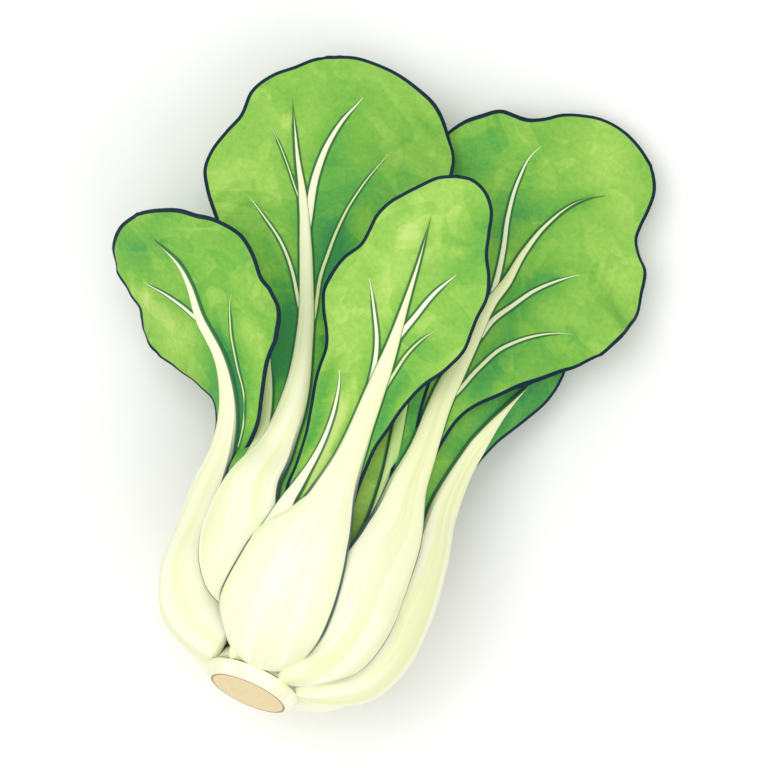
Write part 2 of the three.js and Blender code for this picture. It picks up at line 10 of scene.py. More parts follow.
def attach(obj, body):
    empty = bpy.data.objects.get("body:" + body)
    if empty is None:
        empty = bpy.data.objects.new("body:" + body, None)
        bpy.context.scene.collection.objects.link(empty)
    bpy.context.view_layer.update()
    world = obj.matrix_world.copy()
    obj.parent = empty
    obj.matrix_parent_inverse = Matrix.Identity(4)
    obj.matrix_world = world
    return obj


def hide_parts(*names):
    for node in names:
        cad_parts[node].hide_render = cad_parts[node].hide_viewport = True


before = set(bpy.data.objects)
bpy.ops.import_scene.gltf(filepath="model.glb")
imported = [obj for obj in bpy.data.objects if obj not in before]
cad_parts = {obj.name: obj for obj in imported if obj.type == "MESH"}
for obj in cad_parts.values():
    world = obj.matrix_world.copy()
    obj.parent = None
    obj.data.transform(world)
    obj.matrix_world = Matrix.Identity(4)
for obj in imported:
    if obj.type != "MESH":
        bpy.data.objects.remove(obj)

scene = bpy.context.scene
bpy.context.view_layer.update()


# ---- The trimmed stem ----
# The short stump that every leaf grows from, cut off square below the bulb. Its skin is smooth and
# cream, with a dark crease where the stalks begin; the knife cut has dried to a pale tan disc inside
# a thin brown line.
CUT_FACE = (0.89, 0.74, 0.44, 1)
CUT_SPECK = (0.72, 0.53, 0.26, 1)
CUT_LINE = (0.33, 0.15, 0.06, 1)
COLLAR = (0.96, 0.95, 0.76, 1)
COLLAR_SHADE = (0.86, 0.86, 0.48, 1)
DARK_LINE = (0.004, 0.055, 0.08, 1)
CUT_RADIUS = 14.3  # mm, out to the brown line
CUT_EDGE = (0.9, 1.2)  # mm up the collar, between which its skin takes over from the cut face
COLLAR_LENGTH = 5.8  # mm, from the cut to the crease where the stalks begin
STEM_PROFILE = [  # mm: radius, distance along the head from the cut
    (0, 0.5), (7, 0.42), (12.4, 0.25), (14.1, 0.02), (14.9, 0.05), (16.1, 0.75), (17.2, 1.8), (17.85, 3),
    (18, 4.1), (17.75, 5.3), (17, 6.5), (16.2, 7.3), (15.9, 8.6), (15.2, 11), (13, 15), (10.5, 19),
    (9, 23), (7, 27), (3.6, 29.4), (0, 30),
]
PROFILE_STEPS = 6  # for each point of the profile
STEM_SIDES = 96

# The head is drawn along its own axis in mm, +Y from the cut to the tips, then laid on the table in
# metres: the leaf end low, the spread of leaves turned straight.
HEAD_TURN = Matrix.Rotation(math.radians(-6), 4, "Z") @ Matrix.Rotation(math.radians(-9), 4, "X")
HEAD_PLACE = Vector((0.00379, -0.12443, 0.05600))
lay = Matrix.Translation(HEAD_PLACE) @ HEAD_TURN @ Matrix.Scale(0.001, 4)


class Number:
    """A number that varies over a surface, so that shader maths can be written as expressions."""

    def __init__(self, finish, socket):
        self.finish = finish
        self.socket = socket

    def __add__(self, other):
        return self.finish.maths("ADD", self, other)

    def __sub__(self, other):
        return self.finish.maths("SUBTRACT", self, other)

    def __rsub__(self, other):
        return self.finish.maths("SUBTRACT", other, self)

    def __mul__(self, other):
        return self.finish.maths("MULTIPLY", self, other)

    def __abs__(self):
        return self.finish.maths("ABSOLUTE", self)

    __radd__ = __add__
    __rmul__ = __mul__

    def step(self, start, end):
        """0 before start, 1 after end, and smooth between them."""
        sockets = {"Value": self, "From Min": start, "From Max": end}
        return self.finish.number(
            self.finish.node("MapRange", {"interpolation_type": "SMOOTHSTEP"}, sockets))


class Finish:
    """A material, and the nodes that make it."""

    def __init__(self, name):
        self.material = bpy.data.materials.new(name)
        self.material.use_nodes = True
        self.nodes = self.material.node_tree.nodes
        self.shader = self.nodes["Principled BSDF"]

    def node(self, kind, settings=None, sockets=None, stops=None):
        made = self.nodes.new("ShaderNode" + kind)
        for key, value in (settings or {}).items():
            setattr(made, key, value)
        for i, (place, colour) in enumerate(stops or []):
            element = made.color_ramp.elements[i] if i < 2 else made.color_ramp.elements.new(place)
            element.position, element.color = place, colour
        self.join(made, sockets or {})
        return made

    def join(self, node, sockets):
        for key, value in sockets.items():
            if isinstance(key, int):
                socket = node.inputs[key]
            else:
                socket = next(s for s in node.inputs if key in (s.identifier, s.name))
            if isinstance(value, Number):
                value = value.socket
            if isinstance(value, bpy.types.NodeSocket):
                self.material.node_tree.links.new(value, socket)
            else:
                socket.default_value = value

    def number(self, node, output=0):
        return Number(self, node.outputs[output])

    def maths(self, operation, *values):
        return self.number(self.node("Math", {"operation": operation}, dict(enumerate(values))))

    def mix(self, share, colour, other):
        sockets = {"Factor_Float": share, "A_Color": colour, "B_Color": other}
        node = self.node("Mix", {"data_type": "RGBA"}, sockets)
        return next(s for s in node.outputs if s.identifier == "Result_Color")

    def spot(self, name):
        """The three numbers that a piece keeps at each point of its surface."""
        attribute = self.node("Attribute", {"attribute_name": name})
        split = self.node("SeparateXYZ", sockets={"Vector": attribute.outputs["Vector"]})
        return [self.number(split, i) for i in range(3)]

    def vector(self, *values):
        return self.node("CombineXYZ", sockets=dict(enumerate(values))).outputs[0]

    def noise(self, vector, scale, detail=3.0, roughness=0.5, distortion=0.0):
        sockets = {"Vector": vector, "Scale": scale, "Detail": detail, "Roughness": roughness,
                   "Distortion": distortion}
        return self.number(self.node("TexNoise", sockets=sockets))

    def bump(self, strength, height_m, shape):
        sockets = {"Strength": strength, "Distance": height_m, "Height": shape}
        return self.node("Bump", sockets=sockets).outputs[0]

    def place(self):
        return self.node("TexCoord").outputs["Object"]


def stem_finish():
    finish = Finish("cut stem")
    radius, along, _ = finish.spot("stem_spot")
    speckle = finish.noise(finish.place(), 900, 4, 0.6)
    broad = finish.noise(finish.place(), 70, 2)
    rings = finish.maths("SINE", radius * 2.6 + broad * 5) * 0.5 + 0.5
    tan = finish.mix(speckle.step(0.35, 0.75) * 0.35 + rings * 0.12, CUT_FACE, CUT_SPECK)
    collar = finish.mix(broad.step(0.48, 0.56) * 0.5, COLLAR, COLLAR_SHADE)
    below_edge = 1 - along.step(*CUT_EDGE)
    on_cut = below_edge * (1 - radius.step(CUT_RADIUS - 0.15, CUT_RADIUS + 0.15))
    line = (1 - abs(radius - CUT_RADIUS - 0.2).step(0.2, 0.5)) * below_edge
    crease = 1 - abs(along - COLLAR_LENGTH).step(0.2, 0.4)
    colour = finish.mix(line, finish.mix(on_cut, collar, tan), CUT_LINE)
    colour = finish.mix(crease * 0.85, colour, DARK_LINE)
    finish.join(finish.shader, {
        "Base Color": colour,
        "Roughness": 0.38 + on_cut * 0.35,
        "Normal": finish.bump(0.25, 0.0004, speckle + rings * on_cut * 0.4),
    })
    return finish.material


def new_mesh(*layers):
    """An empty mesh, and the layers that keep three numbers at each vertex."""
    bm = bmesh.new()
    return bm, *(bm.verts.layers.float_vector.new(name) for name in layers)


def make_piece(bm, name, material):
    """A smooth object from a finished mesh, at the origin with its place in its mesh."""
    for face in bm.faces:
        face.smooth = True
    mesh = bpy.data.meshes.new(name)
    bm.to_mesh(mesh)
    bm.free()
    mesh.materials.append(material)
    piece = bpy.data.objects.new(name, mesh)
    scene.collection.objects.link(piece)
    return piece


def stem_mesh():
    bm, spot = new_mesh("stem_spot")
    # the profile is stepped finely along its points and spun about the head's axis, then smoothed
    fine = np.linspace(0, len(STEM_PROFILE) - 1, PROFILE_STEPS * len(STEM_PROFILE))
    radii, heights = (np.interp(fine, range(len(STEM_PROFILE)), column) for column in zip(*STEM_PROFILE))
    chain = [bm.verts.new((r, y, 0)) for r, y in zip(radii, heights)]
    edges = [bm.edges.new(pair) for pair in zip(chain, chain[1:])]
    bmesh.ops.spin(bm, geom=chain + edges, cent=(0, 0, 0), axis=(0, 1, 0), angle=2 * math.pi,
                   steps=STEM_SIDES, use_merge=True)
    bmesh.ops.remove_doubles(bm, verts=bm.verts, dist=0.0005)
    bmesh.ops.smooth_vert(bm, verts=bm.verts, factor=0.5, use_axis_x=True, use_axis_y=True, use_axis_z=True)
    bmesh.ops.recalc_face_normals(bm, faces=bm.faces)
    for v in bm.verts:
        v[spot] = (math.hypot(v.co.x, v.co.z), v.co.y, 0)
    bm.transform(lay)
    return bm


stem = make_piece(stem_mesh(), "trimmed_stem", stem_finish())
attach(stem, "root")
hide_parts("stem")


# ---- The front leaf ----
# The leaf on top of the heap: a plump white stalk that closes the bulb, then a cream rib with forked
# veins that carries a thin, waved, light green blade. It grows in one piece from the stem.
BULB_WALL = [  # mm along the head's axis, share of the bulge radius
    (8, 0.33), (10.5, 0.58), (17, 0.83), (31, 0.975), (50, 1),
]
BLADE_THICKNESS = 0.8  # mm
FULL_WAVE = 30  # mm out from the midline, where a blade's ruffle has its full height
RIPPLE = (0.25, 17)  # mm, height and length of the fine ripple on it
QUILTING = (0.55, 6)  # mm, how deep a blade dips between its veins, and how far out from one
FLESH = [(0, 5), (27, 6.5), (60, 7), (100, 6)]  # mm along, thickness: the same for all outer stalks
OUTER_SHARE = 0.62  # of a stalk's flesh stands on its outer side
FOOT_ROUND, TIP_ROUND = 2, 9  # mm, rounding of a stalk's foot and of its rib's tip
CREAM = (0.98, 0.98, 0.76, 1)
CREAM_BAND = (0.92, 0.95, 0.56, 1)
# deeper cream, for the narrow pale-green bands along a stalk and for its painted shade
CREAM_DEEP_AND_SHADE = (0.80, 0.86, 0.42, 1)
VEIN_LIME = (0.64, 0.78, 0.28, 1)
RIB_LINE = (0.02, 0.15, 0.05, 1)
BLADE_EDGE = (0.001, 0.022, 0.042, 1)
NECK = (50, 125)  # mm along a stalk, between which it turns from cream to pale green
RIBS = (75, 120)  # mm along, between which the side lines of a stalk turn into those of a rib
RIB_LINE_BREADTH = (0.25, 0.55)  # mm, to where it starts to fade and where it ends
BLADE_EDGE_BREADTH = (1.15, 1.45)  # mm
GAP_LINE_BREADTH = (0.3, 0.75)  # mm, of the line on the blade beside a rib or vein
LEAF_GREENS = [  # from the palest wash to the deepest
    (0.0, (0.54, 0.72, 0.21, 1)), (0.12, (0.44, 0.69, 0.14, 1)), (0.31, (0.31, 0.585, 0.092, 1)),
    (0.52, (0.20, 0.49, 0.065, 1)), (0.73, (0.105, 0.395, 0.065, 1)), (0.88, (0.065, 0.325, 0.068, 1)),
    (1.0, (0.042, 0.265, 0.075, 1)),
]


class Course:
    """A smooth curve through values at rising knots, carried on straight past both ends."""

    def __init__(self, knots, values):
        self.knots = np.array(knots, float)
        self.values = np.array(values, float).reshape(len(knots), -1)
        steps = np.diff(self.knots)[:, None]
        rates = np.diff(self.values, axis=0) / steps
        inner = (rates[1:] * steps[:-1] + rates[:-1] * steps[1:]) / (steps[1:] + steps[:-1])
        self.rates = np.vstack([rates[:1], inner, rates[-1:]])

    def at(self, s):
        s = np.asarray(s, float)
        end = np.clip(s, self.knots[0], self.knots[-1])
        i = np.clip(np.searchsorted(self.knots, end, side="right") - 1, 0, len(self.knots) - 2)
        h = (self.knots[i + 1] - self.knots[i])[..., None]
        u = (end - self.knots[i])[..., None] / h
        inside = (
            (2 * u**3 - 3 * u**2 + 1) * self.values[i] + (u**3 - 2 * u**2 + u) * h * self.rates[i]
            + (3 * u**2 - 2 * u**3) * self.values[i + 1] + (u**3 - u**2) * h * self.rates[i + 1]
        )
        rate = np.where((s < end)[..., None], self.rates[0], self.rates[-1])
        return inside + (s - end)[..., None] * rate

    @classmethod
    def through(cls, points, shares=False, axes=None):
        """Through points, with the running length in their first axes as the knots, or shares of it."""
        steps = np.linalg.norm(np.diff(np.array(points, float)[:, :axes], axis=0), axis=1)
        knots = np.concatenate([[0], np.cumsum(steps)])
        return cls(knots / knots[-1] if shares else knots, points)

    @classmethod
    def of_pairs(cls, pairs):
        return cls(*zip(*pairs))


class Leaf:
    """The curved surface of one leaf, in mm. A place on it is a distance across and along its midline.

    turn, bulge, lean, rise: bearing round the axis, bulge radius, sideways lean, lift of the foot
    course: stations of the midline past the bulb; side: bearing of its right-hand side at even steps
    stalk: along, half width, or along, width left of the midline, width right of it
    flesh: along, thickness; cup: along, curvature across
    left, right: across and along of the blade's edge, from the foot of its wings to the tip; with
        no right one, both sides are the same
    veins: across, along and half width at each place that the vein passes, and how lime it is
    wave: height of the ruffle, its length and how far it is shifted
    sway: along, how far the rib strays to the right of the midline; point: how long its end tapers
    """

    def __init__(self, turn, bulge, course, side, stalk, flesh, cup, left, wave, right=None, veins=(),
                 sway=((0, 0), (300, 0)), point=40, lean=0, rise=0):
        angle = math.radians(turn)
        wall = []
        for i, (y, share) in enumerate(BULB_WALL):
            part = i / (len(BULB_WALL) - 1)
            wall.append((bulge * share * math.cos(angle) + lean * part, y + rise * (1 - part),
                         bulge * share * math.sin(angle)))
        self.path = Course.through(wall + course)
        length = self.path.knots[-1]
        self.side = Course(np.linspace(0, length, len(side)), np.radians(side))
        self.stalk = Course.of_pairs([(row[0], (row[1], row[-1])) for row in stalk])
        self.flesh = Course.of_pairs(flesh)
        self.cup = Course.of_pairs(cup)
        self.left = Course.through(left, True)
        self.right = Course.through(right or [(-across, along) for across, along in left], True)
        self.foot, self.tip, self.rib_end = left[0][1], left[-1][1], stalk[-1][0]
        self.sway = Course.of_pairs(sway)
        self.veins = [(Course.through(places, True, axes=2), lime) for places, lime in veins]
        self.wave, self.point = wave, point

    def half_width(self, across, along):
        """Width of the stalk or rib from its midline to the side that a place is on."""
        sides = self.stalk.at(np.clip(along, 0, self.rib_end))
        taper = np.clip((self.rib_end + 1 - along) / self.point, 0, 1) ** 0.7
        return np.where(across > 0, sides[:, 1], sides[:, 0]) * taper

    def points(self, across, along, lift):
        """Points in the row frame, in metres, lifted off the middle of the leaf on its outer side."""
        tangent = self.path.at(along + 0.25) - self.path.at(along - 0.25)
        tangent /= np.linalg.norm(tangent, axis=-1, keepdims=True)
        turn = self.side.at(along)[..., 0]
        right = np.stack([np.cos(turn), np.zeros_like(turn), np.sin(turn)], -1)
        right -= tangent * (right * tangent).sum(-1, keepdims=True)
        right /= np.linalg.norm(right, axis=-1, keepdims=True)
        outward = np.cross(right, tangent)
        bend = across * self.cup.at(along)[..., 0]
        bend = np.where(np.abs(bend) < 1e-6, 1e-6, bend)
        sideways = across * np.sin(bend) / bend + lift * np.sin(bend)
        raised = lift * np.cos(bend) - across * (1 - np.cos(bend)) / bend
        grown = self.path.at(along) + right * sideways[..., None] + outward * raised[..., None]
        turned = np.array(lay.to_3x3())
        return grown @ turned.T + np.array(lay.translation)

    def vein_gap(self, across, along):
        """How far each place is from the side of the nearest rib or vein: below zero on it."""
        share = np.linspace(0, 1, 150)
        off = across - self.sway.at(along)[:, 0]
        gap = np.hypot(off, np.maximum(along - self.rib_end, 0)) - self.half_width(off, along)
        gap = gap + np.clip((along - self.rib_end + 12) / 12, 0, 1)
        for course, _ in self.veins:
            spots = course.at(share)
            far = np.hypot(across[:, None] - spots[:, 0], along[:, None] - spots[:, 1]) - spots[:, 2]
            gap = np.minimum(gap, (far + np.clip((share - 0.8) / 0.2, 0, 1)).min(1))
        return gap

    def wavy(self, across, along, gap):
        """The ruffle towards the edge, a fine ripple on it, and the quilting between the veins."""
        height, length, shift = self.wave
        start = np.where(across > 0, shift, shift + length * 0.37)
        out = (across / FULL_WAVE) ** 2
        ruffle = height * out * np.sin(2 * math.pi * (along + start) / length)
        ripple = RIPPLE[0] * out * np.sin(2 * math.pi * (along * 1.1 + np.abs(across)) / RIPPLE[1])
        quilt = QUILTING[0] * (1 - np.exp(-(np.maximum(gap, 0) / QUILTING[1]) ** 2))
        return ruffle + ripple - quilt


def shaped_grid(bm, across_steps, along_steps):
    """A grid to be bent into shape: its vertices, from -1 to 1 across and from 0 to 1 along."""
    verts = bmesh.ops.create_grid(bm, x_segments=across_steps, y_segments=along_steps, size=1)["verts"]
    flat = np.array([v.co for v in verts])
    return verts, flat[:, 0], (flat[:, 1] + 1) / 2


def put(verts, layer, points, spots, clear=0):
    """Vertices moved to their points, kept clear of the table, each with the numbers of its spot."""
    points[:, 2] = np.maximum(points[:, 2], clear)
    for v, point, spot in zip(verts, points, spots):
        v.co = point
        v[layer] = spot


def power(value, exponent):
    return np.sign(value) * np.abs(value) ** exponent


def rounded(distance, length):
    """0 at an end and 1 from length inwards, along a quarter circle between them."""
    return np.sqrt(np.clip(1 - np.clip(1 - distance / length, 0, 1) ** 2, 0, 1))


def sheet_shares(u, body):
    """Of a cover's grid: how far out each place is in its body, a share of the width, then in its lip."""
    return np.clip(np.abs(u) / body, 0, 1), np.clip((np.abs(u) - body) / (1 - body), 0, 1)


def stalk_cover(leaf, end=112, lip=7):
    """A sheet just inside a stalk, for the leaves behind it to stay under.

    It runs to end mm along, and turns up past the stalk's sides by lip mm.
    """
    bm = bmesh.new()
    verts, u, w = shaped_grid(bm, 44, 90)
    along = end * w - 3
    sides = leaf.stalk.at(np.clip(along, 0, leaf.rib_end))
    within, past = sheet_shares(u, 0.76)
    inner = (1 - OUTER_SHARE) * leaf.flesh.at(along)[:, 0]
    past *= lip * np.clip(along / 45, 0.15, 1)  # near the foot the leaves hardly overlap
    across = np.sign(u) * (np.where(u > 0, sides[:, 1], sides[:, 0]) * within + past)
    level = past - inner * np.sqrt(1 - within**2.5) - 0.4
    return sheet_tree(bm, verts, leaf.points(across, along, level))


def blade_cover(leaf, lip=6):
    """The same for a blade: a sheet just under it, turned up past its edge."""
    bm = bmesh.new()
    verts, u, w = shaped_grid(bm, 60, 90)
    within, past = sheet_shares(u, 0.85)
    across, along = blade_places(leaf, within * np.sign(u), w)
    level = leaf.wavy(across, along, leaf.vein_gap(across, along)) - 1.3 + lip * past**1.5
    return sheet_tree(bm, verts, leaf.points(across + np.sign(u) * lip * past, along, level))


def sheet_tree(bm, verts, points):
    for v, point in zip(verts, points):
        v.co = point
    tree = BVHTree.FromBMesh(bm)
    bm.free()
    return tree


EVENING_PASSES = 10


def tucked(leaf, grid, across, along, top, points, covers, closed=False):
    """Points moved inwards until the leaf's outer side, top mm off its middle, is under the covers.

    The moves are evened out over the grid, so that the leaf dips in a smooth hollow.
    """
    if not covers:
        return points
    outer = leaf.points(across, along, top)
    inwards = leaf.points(across, along, top - 1) - outer
    inwards /= np.linalg.norm(inwards, axis=1, keepdims=True)
    reach = np.clip(5 + along * 0.2, 5, 13) / 1000  # short at the foot, where the leaves hardly overlap
    moves = np.zeros(len(points))
    for cover in covers:
        for i, (start, way) in enumerate(zip(outer, inwards)):
            far = cover.ray_cast(Vector(start), Vector(way), reach[i])[3]
            moves[i] = max(moves[i], far or 0)
    columns = np.unique(grid[0].round(5), return_inverse=True)[1]
    rows = np.unique(grid[1].round(5), return_inverse=True)[1]
    table = np.zeros((rows.max() + 1, columns.max() + 1))
    table[rows, columns] = moves
    for _ in range(EVENING_PASSES):
        if closed:
            wide = np.hstack([table[:, -2:-1], table, table[:, 1:2]])
        else:
            wide = np.pad(table, ((0, 0), (1, 1)), mode="edge")
        table = (wide[:, :-2] + 2 * wide[:, 1:-1] + wide[:, 2:]) / 4
        high = np.pad(table, ((1, 1), (0, 0)), mode="edge")
        table = (high[:-2] + 2 * high[1:-1] + high[2:]) / 4
    return points + inwards * table[rows, columns][:, None]


def stalk_mesh(leaf, covers, open_side):
    """The stalk, rib and veins. Each is a grid wrapped into a closed tube, with its seam welded.

    open_side: a side and the stretch of it that runs into a vein, with no line between them
    leaf_spot: from -1 to 1 across the stalk or vein, mm along, mm to its nearer side
    vein_spot: 1 on a vein, and how lime it is
    """
    bm, spot, kind = new_mesh("leaf_spot", "vein_spot")
    verts, u, w = shaped_grid(bm, 64, 170)
    along = leaf.rib_end * w**1.2
    width = power(np.cos(math.pi * u), 0.9)
    half, flesh = leaf.half_width(width, along), leaf.flesh.at(along)[:, 0]
    closing = rounded(along, FOOT_ROUND) * rounded(leaf.rib_end - along, TIP_ROUND)
    height = power(-np.sin(math.pi * u), 0.8)
    depth = flesh * np.where(height > 0, OUTER_SHARE, 1 - OUTER_SHARE)
    across = leaf.sway.at(along)[:, 0] + half * width * closing
    points = leaf.points(across, along, depth * height * closing)
    top = OUTER_SHARE * flesh * np.abs(height) * closing
    points = tucked(leaf, (u, w), across, along, top, points, covers, closed=True)
    line = half * (1 - np.abs(width))
    if open_side:
        side, start, end = open_side
        middle, long = (start + end) / 2, (end - start) / 2
        line += 3 * (width * side > 0) * np.clip(1.5 - 1.5 * np.abs(along - middle) / long, 0, 1)
    put(verts, spot, points, np.stack([width, along, line], -1))

    for course, lime in leaf.veins:
        verts, u, w = shaped_grid(bm, 16, 56)
        spots = course.at(w)
        ahead = course.at(w + 0.01) - spots
        ahead /= np.hypot(ahead[:, 0], ahead[:, 1])[:, None]
        closing = rounded(w, 0.03) * rounded(1 - w, 0.12)
        half = spots[:, 2] * closing
        width = np.cos(math.pi * u)
        height = power(-np.sin(math.pi * u), 0.5)
        across = spots[:, 0] + ahead[:, 1] * half * width
        along = spots[:, 1] - ahead[:, 0] * half * width
        still = leaf.wavy(spots[:, 0], spots[:, 1], np.zeros_like(u))
        rise = np.where(height > 0, 0.62 + 0.3 * spots[:, 2], 0.6) * height * closing
        points = leaf.points(across, along, still + rise)
        points = tucked(leaf, (u, w), across, along, still + 0.8, points, covers, closed=True)
        put(verts, spot, points, np.stack([width, along, np.maximum(half, 0.3) * (1 - np.abs(width))], -1))
        for v in verts:
            v[kind] = (1, lime, 0)

    bmesh.ops.remove_doubles(bm, verts=bm.verts, dist=1e-6)
    bmesh.ops.recalc_face_normals(bm, faces=bm.faces)
    return bm


def blade_places(leaf, u, w):
    """Across and along of a blade's grid: out to its edge at -1 and 1, and from its foot to its tip."""
    w_edge = 0.985 * w  # the last row of the grid runs round the tip
    edge = np.where((u < 0)[:, None], leaf.left.at(w_edge), leaf.right.at(w_edge))
    reach = np.abs(u)
    rib = leaf.foot + (leaf.tip - leaf.foot) * w**1.35
    return edge[:, 0] * reach**1.2, rib + (edge[:, 1] - rib) * (1.35 * reach - 0.35 * reach**2)


def blade_mesh(leaf, grid, base, washes, covers):
    """The blade: a grid drawn out to the leaf's edge.

    leaf_spot: mm across, mm along, mm to the nearest rib or vein
    leaf_shade: mm to the edge of the blade, how deep its green is
    """
    bm, spot, shade = new_mesh("leaf_spot", "leaf_shade")
    verts, u, w = shaped_grid(bm, *grid)
    across, along = blade_places(leaf, u, w)
    gap = leaf.vein_gap(across, along)
    lift = leaf.wavy(across, along, gap)
    points = tucked(leaf, (u, w), across, along, lift + 0.5, leaf.points(across, along, lift), covers)
    put(verts, spot, points, np.stack([across, along, gap], -1), BLADE_THICKNESS / 2000)
    outline = np.vstack([leaf.left.at(np.linspace(0, 1, 400)), leaf.right.at(np.linspace(0, 1, 400))])
    margin = np.hypot(across[:, None] - outline[:, 0], along[:, None] - outline[:, 1]).min(1)
    depth = np.full_like(u, base)
    for x, y, wide, long, amount in washes:
        depth += amount * np.exp(-(((across - x) / wide) ** 2 + ((along - y) / long) ** 2))
    for v, m, d in zip(verts, margin, depth):
        v[shade] = (m, d, 0)
    return bm


def stalk_finish(name, seed, bands=0.7, neck=0.4, shade_streaks=(), cream=CREAM, band=CREAM_BAND,
                 deep=CREAM_DEEP_AND_SHADE, line=1.25, heavier=0):
    """The waxy skin of a stalk, its rib and its veins.

    bands, neck: strength of the pale bands that run along it, and of the green of its neck
    streaks: where each band of painted shade lies across the stalk, from -1 to 1, how far it drifts in 100
    mm of stalk, its half width, and its strength
    line: how broad the dark line along each side is, in mm; heavier: how much broader on the right
    """
    finish = Finish(name)
    width, along, edge = finish.spot("leaf_spot")
    is_vein, lime, _ = finish.spot("vein_spot")
    cloud = finish.noise(finish.place(), 40, 3)
    # a few washes of pale yellow-green run the length of a stalk, each with a soft and a crisp side
    broad = finish.noise(finish.vector(width * 1.3 + seed, along * 0.006, seed), 1.7, 1.5, 0.4, 0.15)
    narrow = finish.noise(finish.vector(width * 3 + seed, along * 0.005, seed), 1.5, 1.5, 0.4, 0.1)
    wash = broad.step(0.40, 0.56) * 0.45 + broad.step(0.535, 0.55) * 0.55
    up = along.step(*NECK) * (1 - is_vein)
    colour = finish.mix(up * neck, cream, band)
    colour = finish.mix(wash * bands, colour, band)
    # painted shade: each listed streak darkens a crisp-edged band that runs along the stalk
    for centre, drift, half, strength in shade_streaks:
        off = abs(width - along * (drift / 100) - centre + (cloud - 0.5) * 0.12)
        shade_streak = 1 - off.step(half - 0.03, half + 0.03)
        colour = finish.mix(shade_streak * strength * (1 - is_vein), colour, deep)
    colour = finish.mix(narrow.step(0.60, 0.615) * bands * (0.5 + up * 0.5), colour, deep)
    # painted shade: every stalk and rib darkens towards both its sides, where its surface turns away from
    # the light
    flank_shade = (width * width + (cloud - 0.5) * 0.3).step(0.55, 1.0) * (1 - is_vein)
    colour = finish.mix(flank_shade * 0.55, colour, deep)
    colour = finish.mix(lime * is_vein, colour, VEIN_LIME)
    on_rib = along.step(*RIBS)
    ink = finish.mix(finish.maths("MAXIMUM", on_rib, is_vein), DARK_LINE, RIB_LINE)
    # where a stalk or vein is narrow its lines keep to its sides
    vein_side = 1 - (1 - abs(width).step(0.45, 0.8)) * is_vein
    bulb_line = 1 - (edge - width * heavier).step(line - 0.15, line + 0.15)
    bulb_line = bulb_line * (1 - on_rib) * abs(width).step(0.76, 0.84)
    rib_line = (1 - edge.step(*RIB_LINE_BREADTH)) * on_rib * vein_side
    colour = finish.mix((bulb_line + rib_line) * 0.95, colour, ink)
    grain = finish.noise(finish.vector(width * 14, along * 0.04, seed), 1.6, 3, 0.6)
    finish.join(finish.shader, {
        "Base Color": colour,
        "Roughness": 0.36 + grain * 0.12,
        "Normal": finish.bump(0.15, 0.0006, grain),
        "Specular IOR Level": 0.35,
        "Subsurface Weight": 0.05,
        "Subsurface Radius": (0.002, 0.002, 0.001),
        "Subsurface Scale": 1.0,
    })
    return finish.material


def blade_finish(name):
    """The soft skin of a blade: mottled greens, with painted shade beside the ribs, and a dark edge."""
    finish = Finish(name)
    across, along, gap = finish.spot("leaf_spot")
    margin, wash, _ = finish.spot("leaf_shade")
    cloud = finish.noise(finish.place(), 42, 4, 0.55, 0.4)
    pool = finish.noise(finish.place(), 26, 2.5, 0.45, 0.7)
    patch = finish.noise(finish.place(), 60, 2, 0.4, 0.9)
    fleck = finish.noise(finish.place(), 520, 4, 0.7)
    depth = wash + (cloud - 0.5) * 0.5 + (fleck - 0.5) * 0.5
    depth = depth + pool.step(0.5, 0.512) * 0.13 - patch.step(0.58, 0.595) * 0.11
    # painted shade: the green deepens within 8 mm of each rib and vein
    depth = depth + (1 - gap.step(0, 8)) * 0.12
    greens = finish.node("ValToRGB", sockets={"Fac": depth * 0.88 + 0.12}, stops=LEAF_GREENS)
    net = finish.node("TexVoronoi", {"feature": "DISTANCE_TO_EDGE"},
                      {"Vector": finish.place(), "Scale": 260, "Randomness": 1.0})
    veinlets = 1 - finish.number(net).step(0.0, 0.09)
    colour = finish.mix(veinlets * 0.015, greens.outputs[0], LEAF_GREENS[0][1])
    colour = finish.mix((1 - gap.step(*GAP_LINE_BREADTH)) * 0.85, colour, RIB_LINE)
    colour = finish.mix(1 - margin.step(*BLADE_EDGE_BREADTH), colour, BLADE_EDGE)
    finish.join(finish.shader, {
        "Base Color": colour,
        "Roughness": 0.5 + fleck * 0.2,
        "Normal": finish.bump(0.25, 0.0004, fleck * 0.6 + veinlets * 0.4 + cloud),
        "Specular IOR Level": 0.2,
    })
    return finish.material


green_blade = blade_finish("green blade")


def add_leaf(name, leaf, finish, base, washes=(), grid=(90, 150), covers=(), tuck_blade=True,
             open_side=None):
    """The two pieces of a leaf, on the head's one body, each in the place of its plain solid.

    finish: of the stalk; base: how deep the green of the blade is
    washes: across and along of each place where it is deeper, its reach both ways, and how much; some of
    them are painted shade
    grid: steps of the blade across and along; covers: what the stalk and a tucked blade lie under
    """
    stalk = make_piece(stalk_mesh(leaf, covers, open_side), name + "_stalk", finish)
    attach(stalk, "root")
    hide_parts("stalk_" + name)
    blade_covers = covers if tuck_blade else ()
    blade = make_piece(blade_mesh(leaf, grid, base, washes, blade_covers), name + "_blade", green_blade)
    thickness = blade.modifiers.new("thickness", "SOLIDIFY")
    thickness.thickness = BLADE_THICKNESS / 1000
    thickness.offset = 0
    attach(blade, "root")
    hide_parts("blade_" + name)


